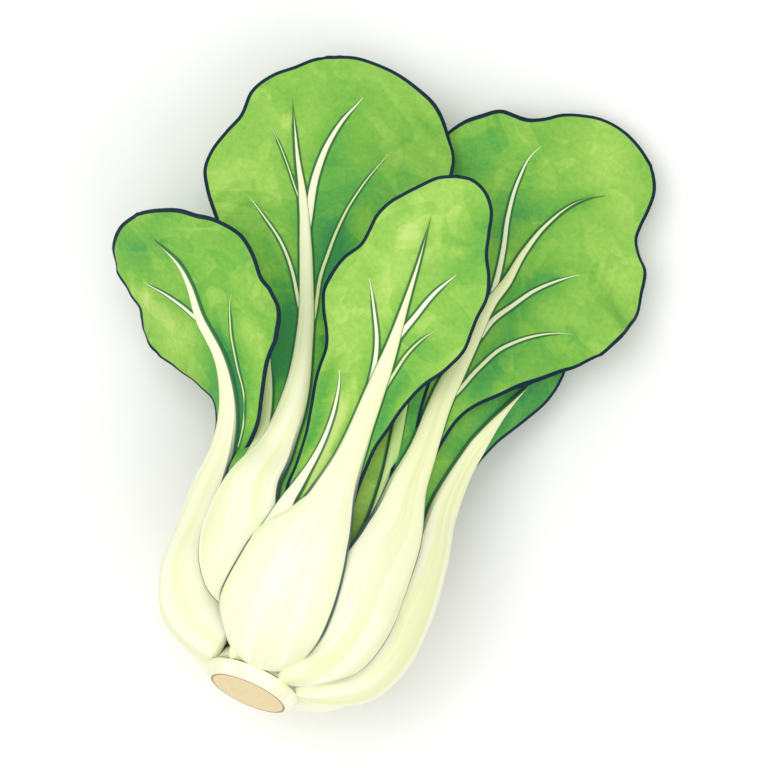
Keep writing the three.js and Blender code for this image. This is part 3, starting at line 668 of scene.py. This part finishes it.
front = Leaf(
    turn=96, bulge=47, lean=1,
    course=[(-4, 71, 41), (-3.5, 94, 37), (-4.5, 114, 36), (-5, 132, 38), (-7, 155, 42), (-8.5, 177, 46),
            (-10, 200, 49)],
    side=[6, 6, 5, 2, 0, 0],
    stalk=[(0, 16, 14), (10, 21, 17.5), (28, 23, 20.5), (42, 22, 20), (56, 20, 17.3), (62, 17.3, 15.6),
           (68, 12.2, 14.2), (75, 8.6, 12.2), (84, 6.6, 9.6), (94, 5.2, 7.2), (108, 4.4, 5),
           (125, 3.6, 4.2), (145, 2.9, 2.9), (165, 2, 2), (196, 1.1, 1.1)],
    flesh=FLESH + [(140, 4), (192, 2.4)],
    cup=[(0, 0.055), (27, 0.026), (55, 0.026), (85, 0.03), (115, 0.025), (140, 0.012), (170, 0.005),
         (212, 0.003)],
    left=[(-13, 72), (-15.5, 79), (-16.3, 87), (-18.5, 100), (-20.5, 114), (-22.8, 128), (-23.6, 136),
          (-26, 142), (-29.5, 150), (-31.3, 157), (-30.5, 162), (-28, 170), (-24, 176.5), (-23, 183),
          (-22.5, 188), (-19.5, 195), (-15.5, 200), (-11, 205), (-6, 210), (0, 213)],
    right=[(12.5, 74), (10, 88), (9.2, 97), (9, 106), (11, 115), (13.5, 126), (17, 136), (22.5, 144),
           (26.7, 153), (27, 160), (27, 166), (27.7, 174), (25.5, 182), (22, 189), (20, 197), (17.5, 206),
           (12, 212), (6, 214), (0, 213)],
    veins=[
        ([(-13, 46, 3), (-14, 56, 5), (-13.4, 62, 4.8), (-12.9, 68, 4.1), (-12.4, 74, 3.3),
          (-11.4, 80, 2.6), (-10.6, 87, 1.8), (-10.2, 96, 1.3), (-10.3, 106, 1), (-11, 117, 0.8),
          (-13, 126, 0.5), (-15.5, 131, 0.12)], 0),
        ([(-0.5, 112, 1.2), (-1, 118, 1.2), (-2.6, 133, 1.2), (-6, 145, 1), (-10, 154, 0.75),
          (-14, 162, 0.45), (-17, 167, 0.12)], 0.2),
        ([(-0.5, 140, 1.4), (1, 148, 1.4), (4.5, 158, 1.2), (8.5, 169, 0.9), (14, 179, 0.12)], 0),
        ([(2.5, 118, 0.7), (3.4, 126, 0.8), (4.4, 134, 0.8), (6.7, 145, 0.65), (10.4, 152, 0.4),
          (14.6, 157, 0.12)], 0.8),
    ],
    wave=(1.4, 42, 0),
    sway=[(0, 0), (150, 0), (175, -1), (196, -3)], point=62,
)
front_finish = stalk_finish("white stalk, front", 3.1, 0.45, 0.5,
                            [(0.8, -0.15, 0.27, 0.35), (-0.1, 0.3, 0.06, 0.2), (-0.98, 0.1, 0.2, 0.2)],
                            line=1.7)
front_washes = [
    (18, 196, 8, 12, 0.3), (22, 165, 9, 16, 0.35), (13, 140, 8, 12, 0.35), (8, 120, 4, 14, 0.45),
    (-9, 105, 5, 15, -0.2), (-6, 185, 7, 14, -0.25), (-4, 150, 5, 14, 0.2), (-7.5, 88, 1.6, 12, -0.4),
    (-8, 106, 2, 14, -0.4), (-15.5, 103, 3, 16, 0.45), (-18.5, 122, 3, 10, 0.35),
    (-15, 199, 5, 6, 0.25), (0, 195, 30, 20, 0.08), (-6, 163, 8, 12, -0.2), (20, 160, 8, 14, -0.18),
    (-28, 154, 5, 6, 0.15), (12, 142, 6, 8, -0.1), (-8, 122, 4, 12, -0.08),
]
add_leaf("front", front, front_finish, 0.12, front_washes, open_side=(-1, 52, 76))
under_front = stalk_cover(front)


# ---- The tall leaf ----
# The longest leaf, standing behind the front one on the left. Its rib forks twice, and its broad
# blade has deep green washes of painted shade where it dips between the ribs of its neighbours.
tall = Leaf(
    turn=128, bulge=42, lean=-1,
    course=[(-29.5, 66, 31), (-27, 84, 25), (-29, 108, 21), (-36, 131, 18), (-47, 156, 16), (-57, 178, 15),
            (-66, 208, 13), (-72, 233, 11)],
    side=[34, 34, 32, 26, 16, 10, 6, 4, 2],
    stalk=[(0, 4, 6), (14, 1, 9), (24, 3, 11), (34, 10, 14), (44, 16, 17), (55, 20, 16), (64, 18.5, 13),
           (74, 12.6, 11.5), (84, 9.4, 10), (94, 7.2, 7.6), (110, 5.6, 5.8), (130, 4.2, 3.8),
           (150, 3.2, 3.1), (175, 2.6, 2.6), (190, 2, 2), (232, 1.1, 1.1)],
    flesh=FLESH + [(150, 4.2), (226, 2.2)],
    cup=[(0, 0.07), (27, 0.03), (60, 0.03), (85, 0.03), (110, 0.022), (135, 0.01), (170, 0.004),
         (251, 0.002)],
    left=[(-12, 70), (-18, 84), (-21, 100), (-21, 120), (-23, 140), (-28, 165), (-33, 186), (-37, 196),
          (-38.4, 202), (-37, 208), (-31.6, 217), (-28, 222), (-25, 232), (-18, 240), (-11, 244.5),
          (-4.5, 249), (0, 251)],
    right=[(17, 62), (15, 76), (14, 92), (15, 112), (20, 132), (30, 156), (41, 178), (51, 200), (54, 214),
           (54, 224), (51.4, 231), (44, 241), (36, 246), (27, 250), (19, 252), (11, 253), (0, 251)],
    veins=[
        ([(-8.5, 76, 2.2), (-9, 86, 2.9), (-9.6, 99, 2.8), (-10.8, 108, 2.4), (-12, 117, 2),
          (-12.7, 126, 1), (-13, 132, 0.12)], 0.6),
        ([(0.3, 178, 1.5), (1.7, 188, 1.75), (3.4, 203, 1.6), (6.5, 217, 1.2), (11, 228, 0.8),
          (15, 235, 0.4), (17, 239, 0.12)], 0),
        ([(-1.5, 192, 0.4), (-4, 198, 0.4), (-8, 207, 0.35), (-12.5, 215, 0.25), (-16, 220, 0.1)], 0.6),
        ([(-1.6, 144, 0.8), (-3.2, 154, 0.9), (-5.3, 166, 0.8), (-10, 179, 0.65), (-16, 188, 0.4),
          (-22, 195, 0.12)], 0.25),
        ([(1.8, 142, 0.8), (3.4, 152, 0.9), (5, 162, 0.9), (9, 174, 0.8), (15, 188, 0.65),
          (23, 205, 0.45), (31, 220, 0.12)], 0.7),
    ],
    wave=(1.6, 52, 20),
    sway=[(0, 0), (8, 2), (14, 4), (24, 1), (34, 0), (175, 0), (188, -0.2), (197, -1.3), (210, -4.4),
          (230, -9)],
)
tall_finish = stalk_finish("white stalk, tall", 7.7, 0.7, 0.3,
                           [(0.3, 0.25, 0.2, 0.4), (-0.75, 0.3, 0.1, 0.35), (0.7, 0.2, 0.05, 0.3)],
                           line=1.6, heavier=-0.4)
# the deepest washes, right of the rib beside the front leaf and low on the left, are painted shade
tall_washes = [
    (10, 172, 9, 20, 0.6), (30, 193, 9, 12, 0.25), (-24, 165, 10, 20, 0.4), (-14, 140, 7, 20, 0.7),
    (-20, 120, 8, 20, 0.85), (-6, 140, 4, 20, 0.6), (10, 125, 6, 20, 0.5), (14, 100, 5, 15, 0.3),
    (11, 205, 8, 10, 0.25), (43, 234, 6, 6, 0.18), (35, 211, 5, 5, 0.12), (5, 249, 10, 4, 0.08),
    (-4, 221, 7, 15, -0.15), (-28, 197, 8, 10, -0.1),
]
add_leaf("tall", tall, tall_finish, 0.28, tall_washes, covers=[under_front])
under_tall = stalk_cover(tall)


# ---- The left leaf ----
# The outer leaf on the left, whose neck turns outwards so that its small blade stands off the heap,
# with a fold beside its rib that is only painted, as a strip of painted shade. It grows as the others do.
left = Leaf(
    turn=184, bulge=45.5,
    course=[(-46.5, 66, 1), (-46.5, 80, 8), (-51, 94, 18), (-62, 108, 26), (-74, 117, 31), (-88, 127, 36),
            (-100, 133, 39), (-113, 139, 40)],
    side=[90, 90, 86, 72, 56, 46, 42, 40, 40],
    stalk=[(0, 13, 22), (12, 19, 27), (28, 23, 30), (42, 22, 27), (52, 18.5, 22), (62, 13, 17.5),
           (72, 9, 13.5), (82, 6.8, 10.2), (92, 6, 7), (104, 5.4, 4.8), (114, 4.6, 3.6), (125, 3.2, 3),
           (140, 2.8, 2.8), (160, 2.3, 2.3), (178, 1.6, 1.6)],
    flesh=FLESH + [(140, 4), (172, 2.4)],
    cup=[(0, 0.07), (27, 0.038), (60, 0.04), (80, 0.04), (100, 0.016), (118, 0.006), (150, 0.004),
         (200, 0.002)],
    left=[(-8, 84), (-7.5, 100), (-9.5, 106), (-17.5, 112), (-25.5, 120), (-31, 128), (-38.5, 138),
          (-42, 144), (-38.5, 149), (-34, 154), (-32.5, 162), (-33.7, 170), (-33, 178), (-27, 186),
          (-20.5, 188.5), (-12, 190), (0, 189)],
    right=[(11, 76), (11.5, 91), (13, 98), (15, 105), (16.7, 113), (20, 121), (23.6, 125), (30, 130),
           (35, 134), (39, 138.5), (38.5, 144), (35, 150), (35.5, 158), (34.8, 166), (32.5, 171),
           (25, 176), (20.5, 179), (13, 183), (5, 187), (0, 189)],
    veins=[
        ([(-0.5, 134, 1.3), (-2.6, 141, 1.3), (-6.3, 147, 1.1), (-13, 155, 0.75),
          (-21.5, 165, 0.12)], 0.1),
        ([(8.2, 94, 0.3), (8.3, 103, 0.45), (7.8, 114, 0.5), (6.8, 121, 0.6), (8.2, 131, 0.65),
          (13.5, 140, 0.5), (19.6, 149, 0.12)], 0.8),
    ],
    wave=(1.4, 36, 10),
    sway=[(0, 0), (125, 0), (142, -1.4), (156, 1.3), (167, 2), (178, -1.3)],
)
left_finish = stalk_finish("white stalk, left", 11.3, 0.5, 0.2,
                           [(0.02, -0.1, 0.12, 0.5), (0.42, 0.1, 0.08, 0.35), (-0.6, 0, 0.2, 0.3)])
# the narrow deep wash just right of the rib, about 102 mm along, is the painted shade of the fold
left_washes = [
    (-18, 175, 14, 10, 0.2), (6, 183, 10, 6, 0.2), (-22, 140, 14, 18, -0.4), (-26, 157, 6, 6, -0.2),
    (7, 160, 5, 7, 0.15), (31, 157, 5, 7, 0.15), (9, 170, 4, 8, -0.1), (-10, 141, 5, 7, -0.15),
    (20, 132, 9, 9, -0.35), (4, 125, 3, 14, 0.4), (5, 102, 2.5, 14, 1.0), (11, 104, 3, 8, -0.2),
    (16, 120, 6, 15, -0.15), (26, 128, 4, 10, 0.1), (13, 92, 2, 10, 0.3), (-12, 112, 6, 10, 0.2),
]
add_leaf("left", left, left_finish, 0.38, left_washes, covers=[under_tall, under_front], tuck_blade=False)
under_left_side = stalk_cover(left, 90)


# ---- The right leaf ----
# The widest leaf, low on the right. Its thick rib leans outwards and splits into three strong veins,
# and its blade has two shallow lobes at the outer edge.
right = Leaf(
    turn=58, bulge=44.5, lean=-1,
    course=[(26.5, 72, 31), (22.5, 94, 25.5), (21, 130, 15), (23.5, 154, 9), (23.5, 182, 5), (29, 206, 2),
            (38, 226, 0), (54, 250, -2)],
    side=[-26, -26, -25, -20, -12, -8, -6, -4, -4],
    stalk=[(0, 2, 11), (14, 8, 16.5), (28, 14, 19.5), (42, 15, 20.8), (54, 12.8, 21.5), (64, 11.8, 19.5),
           (75, 12.6, 13.5), (86, 12.2, 9), (96, 10.4, 6.8), (106, 8.2, 5.6), (118, 6.5, 4.5),
           (134, 5.5, 4), (150, 4.6, 3.9), (165, 3.4, 3.4), (180, 2.8, 2.8), (200, 2, 2), (230, 1.4, 1.4),
           (252, 1.1, 1.1)],
    flesh=FLESH + [(150, 4.5), (248, 2.4)],
    cup=[(0, 0.07), (27, 0.03), (60, 0.03), (85, 0.03), (110, 0.025), (140, 0.012), (170, 0.005),
         (271, 0.002)],
    left=[(-8, 90), (-11, 118), (-17, 143), (-26, 168), (-37, 190), (-48, 207), (-53.5, 219), (-52.5, 229),
          (-49.5, 234), (-46.5, 239), (-42, 242), (-38, 244.5), (-35.5, 248), (-33.5, 254), (-30, 260),
          (-25, 266), (-17, 271), (-8, 273), (0, 273)],
    right=[(5, 112), (6.5, 126), (8.5, 139), (12.5, 150), (17, 158), (21.5, 165), (27, 170), (33.5, 176),
           (39.5, 182), (43.5, 191), (46, 204), (46.5, 219), (44, 234), (39, 241), (33, 248.5), (27, 250),
           (22, 252.5), (18.5, 257), (14.5, 263), (9, 269), (3, 272), (0, 273)],
    veins=[
        ([(-1.5, 184, 1.3), (-3, 194, 1.35), (-8, 207, 1.2), (-15, 218, 1), (-22, 229, 0.7),
          (-26, 237, 0.4), (-27, 244, 0.12)], 0.15),
        ([(-0.5, 172, 1.2), (1.2, 180, 1.25), (6.4, 191, 1.1), (10, 201, 0.9), (14.6, 211, 0.6),
          (20, 222, 0.12)], 0.3),
        ([(1, 140, 0.9), (2.8, 149, 1), (4.4, 161, 1), (7.6, 171, 0.9), (14, 179, 0.75),
          (22.6, 187, 0.5), (32.7, 196, 0.12)], 0.45),
    ],
    wave=(1.6, 50, 5),
    sway=[(0, 0), (100, 0), (116, 1), (146, -1), (169, -2.8), (187, -1.7), (196, -0.2), (211, -1.5),
          (225, -2.6), (240, -2), (252, 2)], point=55,
)
right_finish = stalk_finish("white stalk, right", 17.9, 0.6, 1,
                            [(0.25, -0.3, 0.16, 0.45), (0.78, 0, 0.1, 0.5), (-0.45, 0.2, 0.05, 0.35)],
                            line=1.7, heavier=0.4)
right_washes = [
    (-43, 220, 9, 16, 0.4), (-44, 200, 9, 12, 0.4), (-30, 192, 8, 20, 0.5), (-34, 224, 5, 5, 0.15),
    (-12, 175, 6, 15, 0.55), (-11, 218, 6, 12, 0.25), (-22, 236, 4, 5, 0.15), (-12, 258, 20, 12, -0.33),
    (7, 193, 6, 14, 0.35), (14, 211, 9, 9, 0.27), (16, 189, 5, 5, 0.15), (32, 236, 9, 9, -0.17),
    (10, 166, 7, 16, 0.5), (26, 178, 8, 8, 0.15), (9, 153, 4, 6, 0.15), (-9, 105, 6, 25, 0.5),
]
add_leaf("right", right, right_finish, 0.3, right_washes, covers=[under_front])
under_right_side, under_right_blade = stalk_cover(right), blade_cover(right)


# ---- The low right leaf ----
# The outer leaf on the right, which lies half under the widest one. Its stalk wraps round the side of
# the bulb, and only the lower half of its dark blade shows.
low_right = Leaf(
    turn=16, bulge=46,
    course=[(41, 74, 13), (37, 92, 10), (37, 113, 4), (39.5, 128, 1), (43, 144, -3), (47.5, 159, -6),
            (55, 181, -8), (62, 200, -9)],
    side=[-69, -69, -65, -58, -50, -44, -40, -38, -36],
    stalk=[(0, 4, 10), (14, 12, 17), (28, 17, 21.5), (42, 19, 22.5), (58, 20, 20), (74, 15, 14.5),
           (86, 12, 12.5), (98, 8.8, 10.8), (111, 6, 8.6), (124, 4.6, 6), (136, 4.2, 4.4), (146, 3.4, 3.2),
           (160, 1.8, 1.8), (172, 1.2, 1.2)],
    flesh=FLESH + [(150, 4.5), (196, 2.4)],
    cup=[(0, 0.07), (27, 0.036), (60, 0.036), (85, 0.034), (110, 0.03), (135, 0.015), (160, 0.005),
         (220, 0.002)],
    left=[(-11, 84), (-14, 100), (-16, 118), (-22, 140), (-26, 162), (-22, 180), (-10, 191), (0, 194)],
    right=[(8.5, 102), (8, 115), (6.5, 128), (7.5, 142), (11.5, 160), (12.5, 174), (8, 186), (0, 194)],
    wave=(1.2, 44, 0),
)
low_right_finish = stalk_finish("white stalk, low right", 23.3, 0.8, 0.8,
                                [(0, 0, 0.14, 0.55), (-0.5, 0, 0.08, 0.4), (0.6, 0, 0.2, 0.3)])
add_leaf("low_right", low_right, low_right_finish, 0.7, [(-10, 118, 8, 20, -0.35)], grid=(60, 90),
         covers=[under_right_side, under_right_blade])
under_low_right = stalk_cover(low_right, 90)


# ---- The leaves underneath ----
# Three leaves that close the bulb below and lie on the table, their blades spread almost flat. The
# middle stalk carries the weight of the head and is pressed flat where it does.
HIDDEN_GRID = (48, 84)  # steps across and along of a blade that hardly shows
under_middle = Leaf(
    turn=275, bulge=45.5,
    course=[(3, 72, -43), (1, 94, -36), (-2, 115, -33), (-6, 140, -30), (-10, 165, -27), (-14, 190, -23.5),
            (-17, 215, -19.5), (-19, 232, -17)],
    side=[185, 185, 183, 181, 180, 180],
    stalk=[(0, 10), (14, 17), (28, 21.5), (42, 22), (58, 20), (76, 13), (98, 8), (135, 5.5), (160, 4.2),
           (185, 3), (220, 1.3)],
    flesh=FLESH + [(150, 4.5), (220, 2.4)],
    cup=[(0, 0.07), (27, 0.036), (60, 0.036), (100, 0.05), (135, 0.01), (170, -0.002), (245, -0.002)],
    left=[(-8, 90), (-12, 112), (-26, 140), (-38, 170), (-36, 200), (-18, 226), (0, 236)],
    veins=[([(0, 143, 1.2), (3, 155, 1.1), (9, 168, 0.9), (24, 195, 0.12)], 0.2),
           ([(0, 138, 1.2), (-3, 150, 1.1), (-9, 163, 0.9), (-24, 190, 0.12)], 0.2)],
    wave=(0.5, 60, 0),
)
UNDER_SIDE = {
    "stalk": [(0, 10), (14, 17), (28, 21.5), (42, 22), (58, 20), (76, 13), (98, 8), (130, 5), (160, 3),
              (185, 1.3)],
    "flesh": FLESH + [(150, 4), (185, 2.4)],
    "cup": [(0, 0.07), (27, 0.036), (60, 0.036), (100, 0.04), (135, 0.01), (170, -0.002), (240, -0.002)],
    "wave": (0.5, 60, 0),
}
under_left = Leaf(
    turn=229, bulge=45,
    course=[(-31, 73, -31), (-28, 95, -27.5), (-33, 120, -27), (-41, 145, -26), (-48, 170, -23),
            (-54, 195, -19)],
    side=[134, 134, 148, 166, 180, 188],
    left=[(-8, 90), (-12, 112), (-24, 135), (-30, 160), (-25, 182), (-12, 197), (0, 202)],
    veins=[([(0, 129, 1.1), (2, 138, 1), (7, 149, 0.8), (18, 170, 0.12)], 0.2),
           ([(0, 125, 1.1), (-2, 134, 1), (-7, 146, 0.8), (-18, 168, 0.12)], 0.2)],
    **UNDER_SIDE,
)
under_right = Leaf(
    turn=322, bulge=43.5,
    course=[(34, 73, -28), (26, 95, -26), (22, 120, -27), (24, 145, -26), (28, 170, -23), (31, 195, -19)],
    side=[237, 237, 219, 194, 180, 172],
    left=[(-8, 90), (-11, 112), (-18, 135), (-22, 160), (-18, 182), (-9, 196), (0, 200)],
    right=[(8, 90), (12, 112), (24, 135), (30, 160), (25, 182), (12, 197), (0, 200)],
    veins=[([(0, 129, 1.1), (2, 138, 1), (7, 149, 0.8), (18, 170, 0.12)], 0.2),
           ([(0, 124, 1.1), (-2, 133, 1), (-5, 144, 0.8), (-14, 165, 0.12)], 0.2)],
    **UNDER_SIDE,
)
under_finish = stalk_finish("white stalk, under", 31.7, 0.6)
add_leaf("under_middle", under_middle, under_finish, 0.5, grid=HIDDEN_GRID)
for name, leaf, cover in (("left", under_left, under_left_side), ("right", under_right, under_low_right)):
    add_leaf("under_" + name, leaf, under_finish, 0.5, grid=HIDDEN_GRID, covers=[cover], tuck_blade=False)


# ---- The inner leaves ----
# Two younger leaves inside the outer ring, seen only as slips of stalk and blade between the big
# ones. Their stalks are thinner and greener, and they grow higher on the stem's core.
YOUNG_CREAM = (0.60, 0.78, 0.32, 1)
YOUNG_BAND = (0.47, 0.69, 0.21, 1)
YOUNG = {
    "cup": [(0, 0.08), (27, 0.05), (60, 0.05), (90, 0.06), (120, 0.02), (150, 0.004), (180, 0.002)],
    "wave": (0.8, 40, 0),
    "rise": 8,
}
inner_left = Leaf(
    turn=150, bulge=30.4,
    course=[(-29, 72, 13), (-31, 86, 10), (-34.5, 93, 8), (-37.5, 105, 5), (-44, 123, 3), (-52, 142, 3),
            (-58, 160, 4)],
    side=[60, 60, 50, 40, 34, 30, 30],
    stalk=[(0, 6), (14, 10), (28, 12.5), (42, 13.5), (60, 11), (78, 5.5), (90, 3), (110, 2.2), (130, 1.8),
           (150, 1.2)],
    flesh=[(0, 4), (27, 5), (60, 5), (100, 4.5), (160, 2.4)],
    left=[(-6, 80), (-9, 95), (-18, 115), (-24, 140), (-18, 160), (-8, 172), (0, 176)],
    **YOUNG,
)
inner_right = Leaf(
    turn=60, bulge=30,
    course=[(16, 71, 27), (14, 87, 26), (10.5, 105, 24), (7, 121, 22), (4, 138, 19), (0.5, 157, 16),
            (-3, 176, 15)],
    side=[-30, -30, -24, -14, -6, -4, -2],
    stalk=[(0, 5), (14, 7), (28, 7), (42, 5.5), (56, 4), (72, 3.2), (85, 2.6), (107, 2.3), (135, 1.8),
           (160, 1.2)],
    flesh=[(0, 4), (27, 5), (60, 5), (100, 4.5), (166, 2.4)],
    left=[(-9, 46), (-12, 62), (-13, 95), (-14, 115), (-15, 140), (-12, 160), (-6, 176), (0, 181)],
    right=[(6, 56), (8, 80), (8.5, 95), (8, 115), (9, 140), (8, 160), (4, 176), (0, 181)],
    **YOUNG,
)
young_finish = stalk_finish("green stalk", 41.3, 0.6, 0.4, cream=YOUNG_CREAM, band=YOUNG_BAND,
                            deep=YOUNG_BAND, line=0.5)
add_leaf("inner_left", inner_left, young_finish, 0.3, [(0, 110, 30, 60, 0.35)], grid=HIDDEN_GRID,
         covers=[under_front, under_tall, under_left_side])
# its left wing is washed paler, painted light against the shade of the narrow wedge it lies in between the
# front and right leaves
add_leaf("inner_right", inner_right, young_finish, 0.3, [(-7, 80, 7, 60, -0.25), (8, 110, 5, 40, 0.35)],
         grid=HIDDEN_GRID, covers=[under_front, under_right_side])


# ---- The heart leaves ----
# The two youngest leaves, short and folded towards each other in the middle of the head. They are
# deep green and narrow, on slim stalks, and hardly show from outside.
HEART = {
    "stalk": [(0, 4), (12, 6), (27, 9), (42, 10), (60, 9), (78, 7), (98, 4.5), (125, 2.5), (145, 1.3)],
    "flesh": [(0, 3.5), (27, 4.5), (60, 4.5), (100, 4), (145, 2.4)],
    "cup": [(0, 0.08), (27, 0.06), (60, 0.06), (90, 0.06), (120, 0.03), (150, 0.02)],
    "left": [(-5, 78), (-8, 92), (-15, 108), (-18, 125), (-14, 142), (-6, 153), (0, 156)],
    "wave": (0.6, 36, 0),
    "bulge": 24,
    "rise": 8,
}
heart_left = Leaf(
    turn=200,
    course=[(-20, 72, -10), (-20, 90, -12), (-22, 110, -13), (-26, 130, -12), (-30, 150, -10)],
    side=[110, 110, 120, 130, 136],
    **HEART,
)
heart_right = Leaf(
    turn=345,
    course=[(20, 72, -7), (18, 90, -9), (18, 110, -11), (20, 130, -11), (22, 150, -10)],
    side=[-105, -105, -115, -125, -130],
    **HEART,
)
HEART_GRID = (40, 64)
add_leaf("heart_left", heart_left, young_finish, 0.8, grid=HEART_GRID)
add_leaf("heart_right", heart_right, young_finish, 0.8, grid=HEART_GRID)


# ---- The floor ----
# A plain pale table that the head lies on, wide enough to run out of every view.
FLOOR_WHITE = (0.98, 0.98, 0.975, 1)
FLOOR_CLOUD = (0.96, 0.96, 0.955, 1)
FLOOR_REACH = 3  # m each way
floor_finish = Finish("pale floor")
floor_cloud = floor_finish.noise(floor_finish.place(), 6, 2)
floor_finish.join(floor_finish.shader, {
    "Base Color": floor_finish.mix(floor_cloud * 0.3, FLOOR_WHITE, FLOOR_CLOUD),
    "Roughness": 0.9,
})
floor_mesh = bmesh.new()
bmesh.ops.create_grid(floor_mesh, x_segments=2, y_segments=2, size=FLOOR_REACH)
floor = make_piece(floor_mesh, "floor", floor_finish.material)


# ---- The light ----
# Soft white light from all round, with a large panel to the upper left as the key and a weaker one
# on the right to open the shadows.
AMBIENT = 0.71
LIT_POINT = Vector((0, 0, 0.04))  # m, what the panels face
world = bpy.data.worlds.new("studio")
world.use_nodes = True
background = world.node_tree.nodes["Background"].inputs
background["Color"].default_value = (1, 1, 1, 1)
background["Strength"].default_value = AMBIENT
scene.world = world
scene.view_settings.view_transform = "Standard"


def panel(name, place, size, watts):
    light = bpy.data.lights.new(name, "AREA")
    light.shape = "SQUARE"
    light.size = size
    light.energy = watts
    lamp = bpy.data.objects.new(name, light)
    lamp.location = place
    lamp.rotation_euler = (Vector(place) - LIT_POINT).to_track_quat("Z", "Y").to_euler()
    scene.collection.objects.link(lamp)


panel("key_panel", (-0.45, -0.1, 1.7), 1.1, 12)
panel("fill_panel", (0.8, -0.7, 1.4), 1.2, 4)


# ---- The camera ----
# It looks down on the laid head, a little from the stem end, and is rolled so that the head leans
# to the upper right. A long lens keeps the near and far leaves at the same scale.
VIEW_TILT, VIEW_ROLL = 16.6, 24.6  # degrees
VIEW_CENTRE = (50.3, 114.3, -20)  # mm: right, up and towards the camera from the middle of the cut
VIEW_WIDTH = 284.2  # mm across the view
LENS, SENSOR = 1500, 36  # mm
camera_data = bpy.data.cameras.new("camera")
camera_data.lens = LENS
camera_data.sensor_width = SENSOR
camera_data.clip_end = 30
camera = bpy.data.objects.new("camera", camera_data)
view_turn = HEAD_TURN @ Matrix.Rotation(math.radians(VIEW_TILT), 4, "X") @ Matrix.Rotation(
    math.radians(VIEW_ROLL), 4, "Z")
away = VIEW_WIDTH * LENS / SENSOR
middle = Vector((VIEW_CENTRE[0], VIEW_CENTRE[1], VIEW_CENTRE[2] + away)) / 1000
camera.matrix_world = Matrix.Translation(HEAD_PLACE) @ view_turn @ Matrix.Translation(middle)
scene.collection.objects.link(camera)
scene.camera = camera
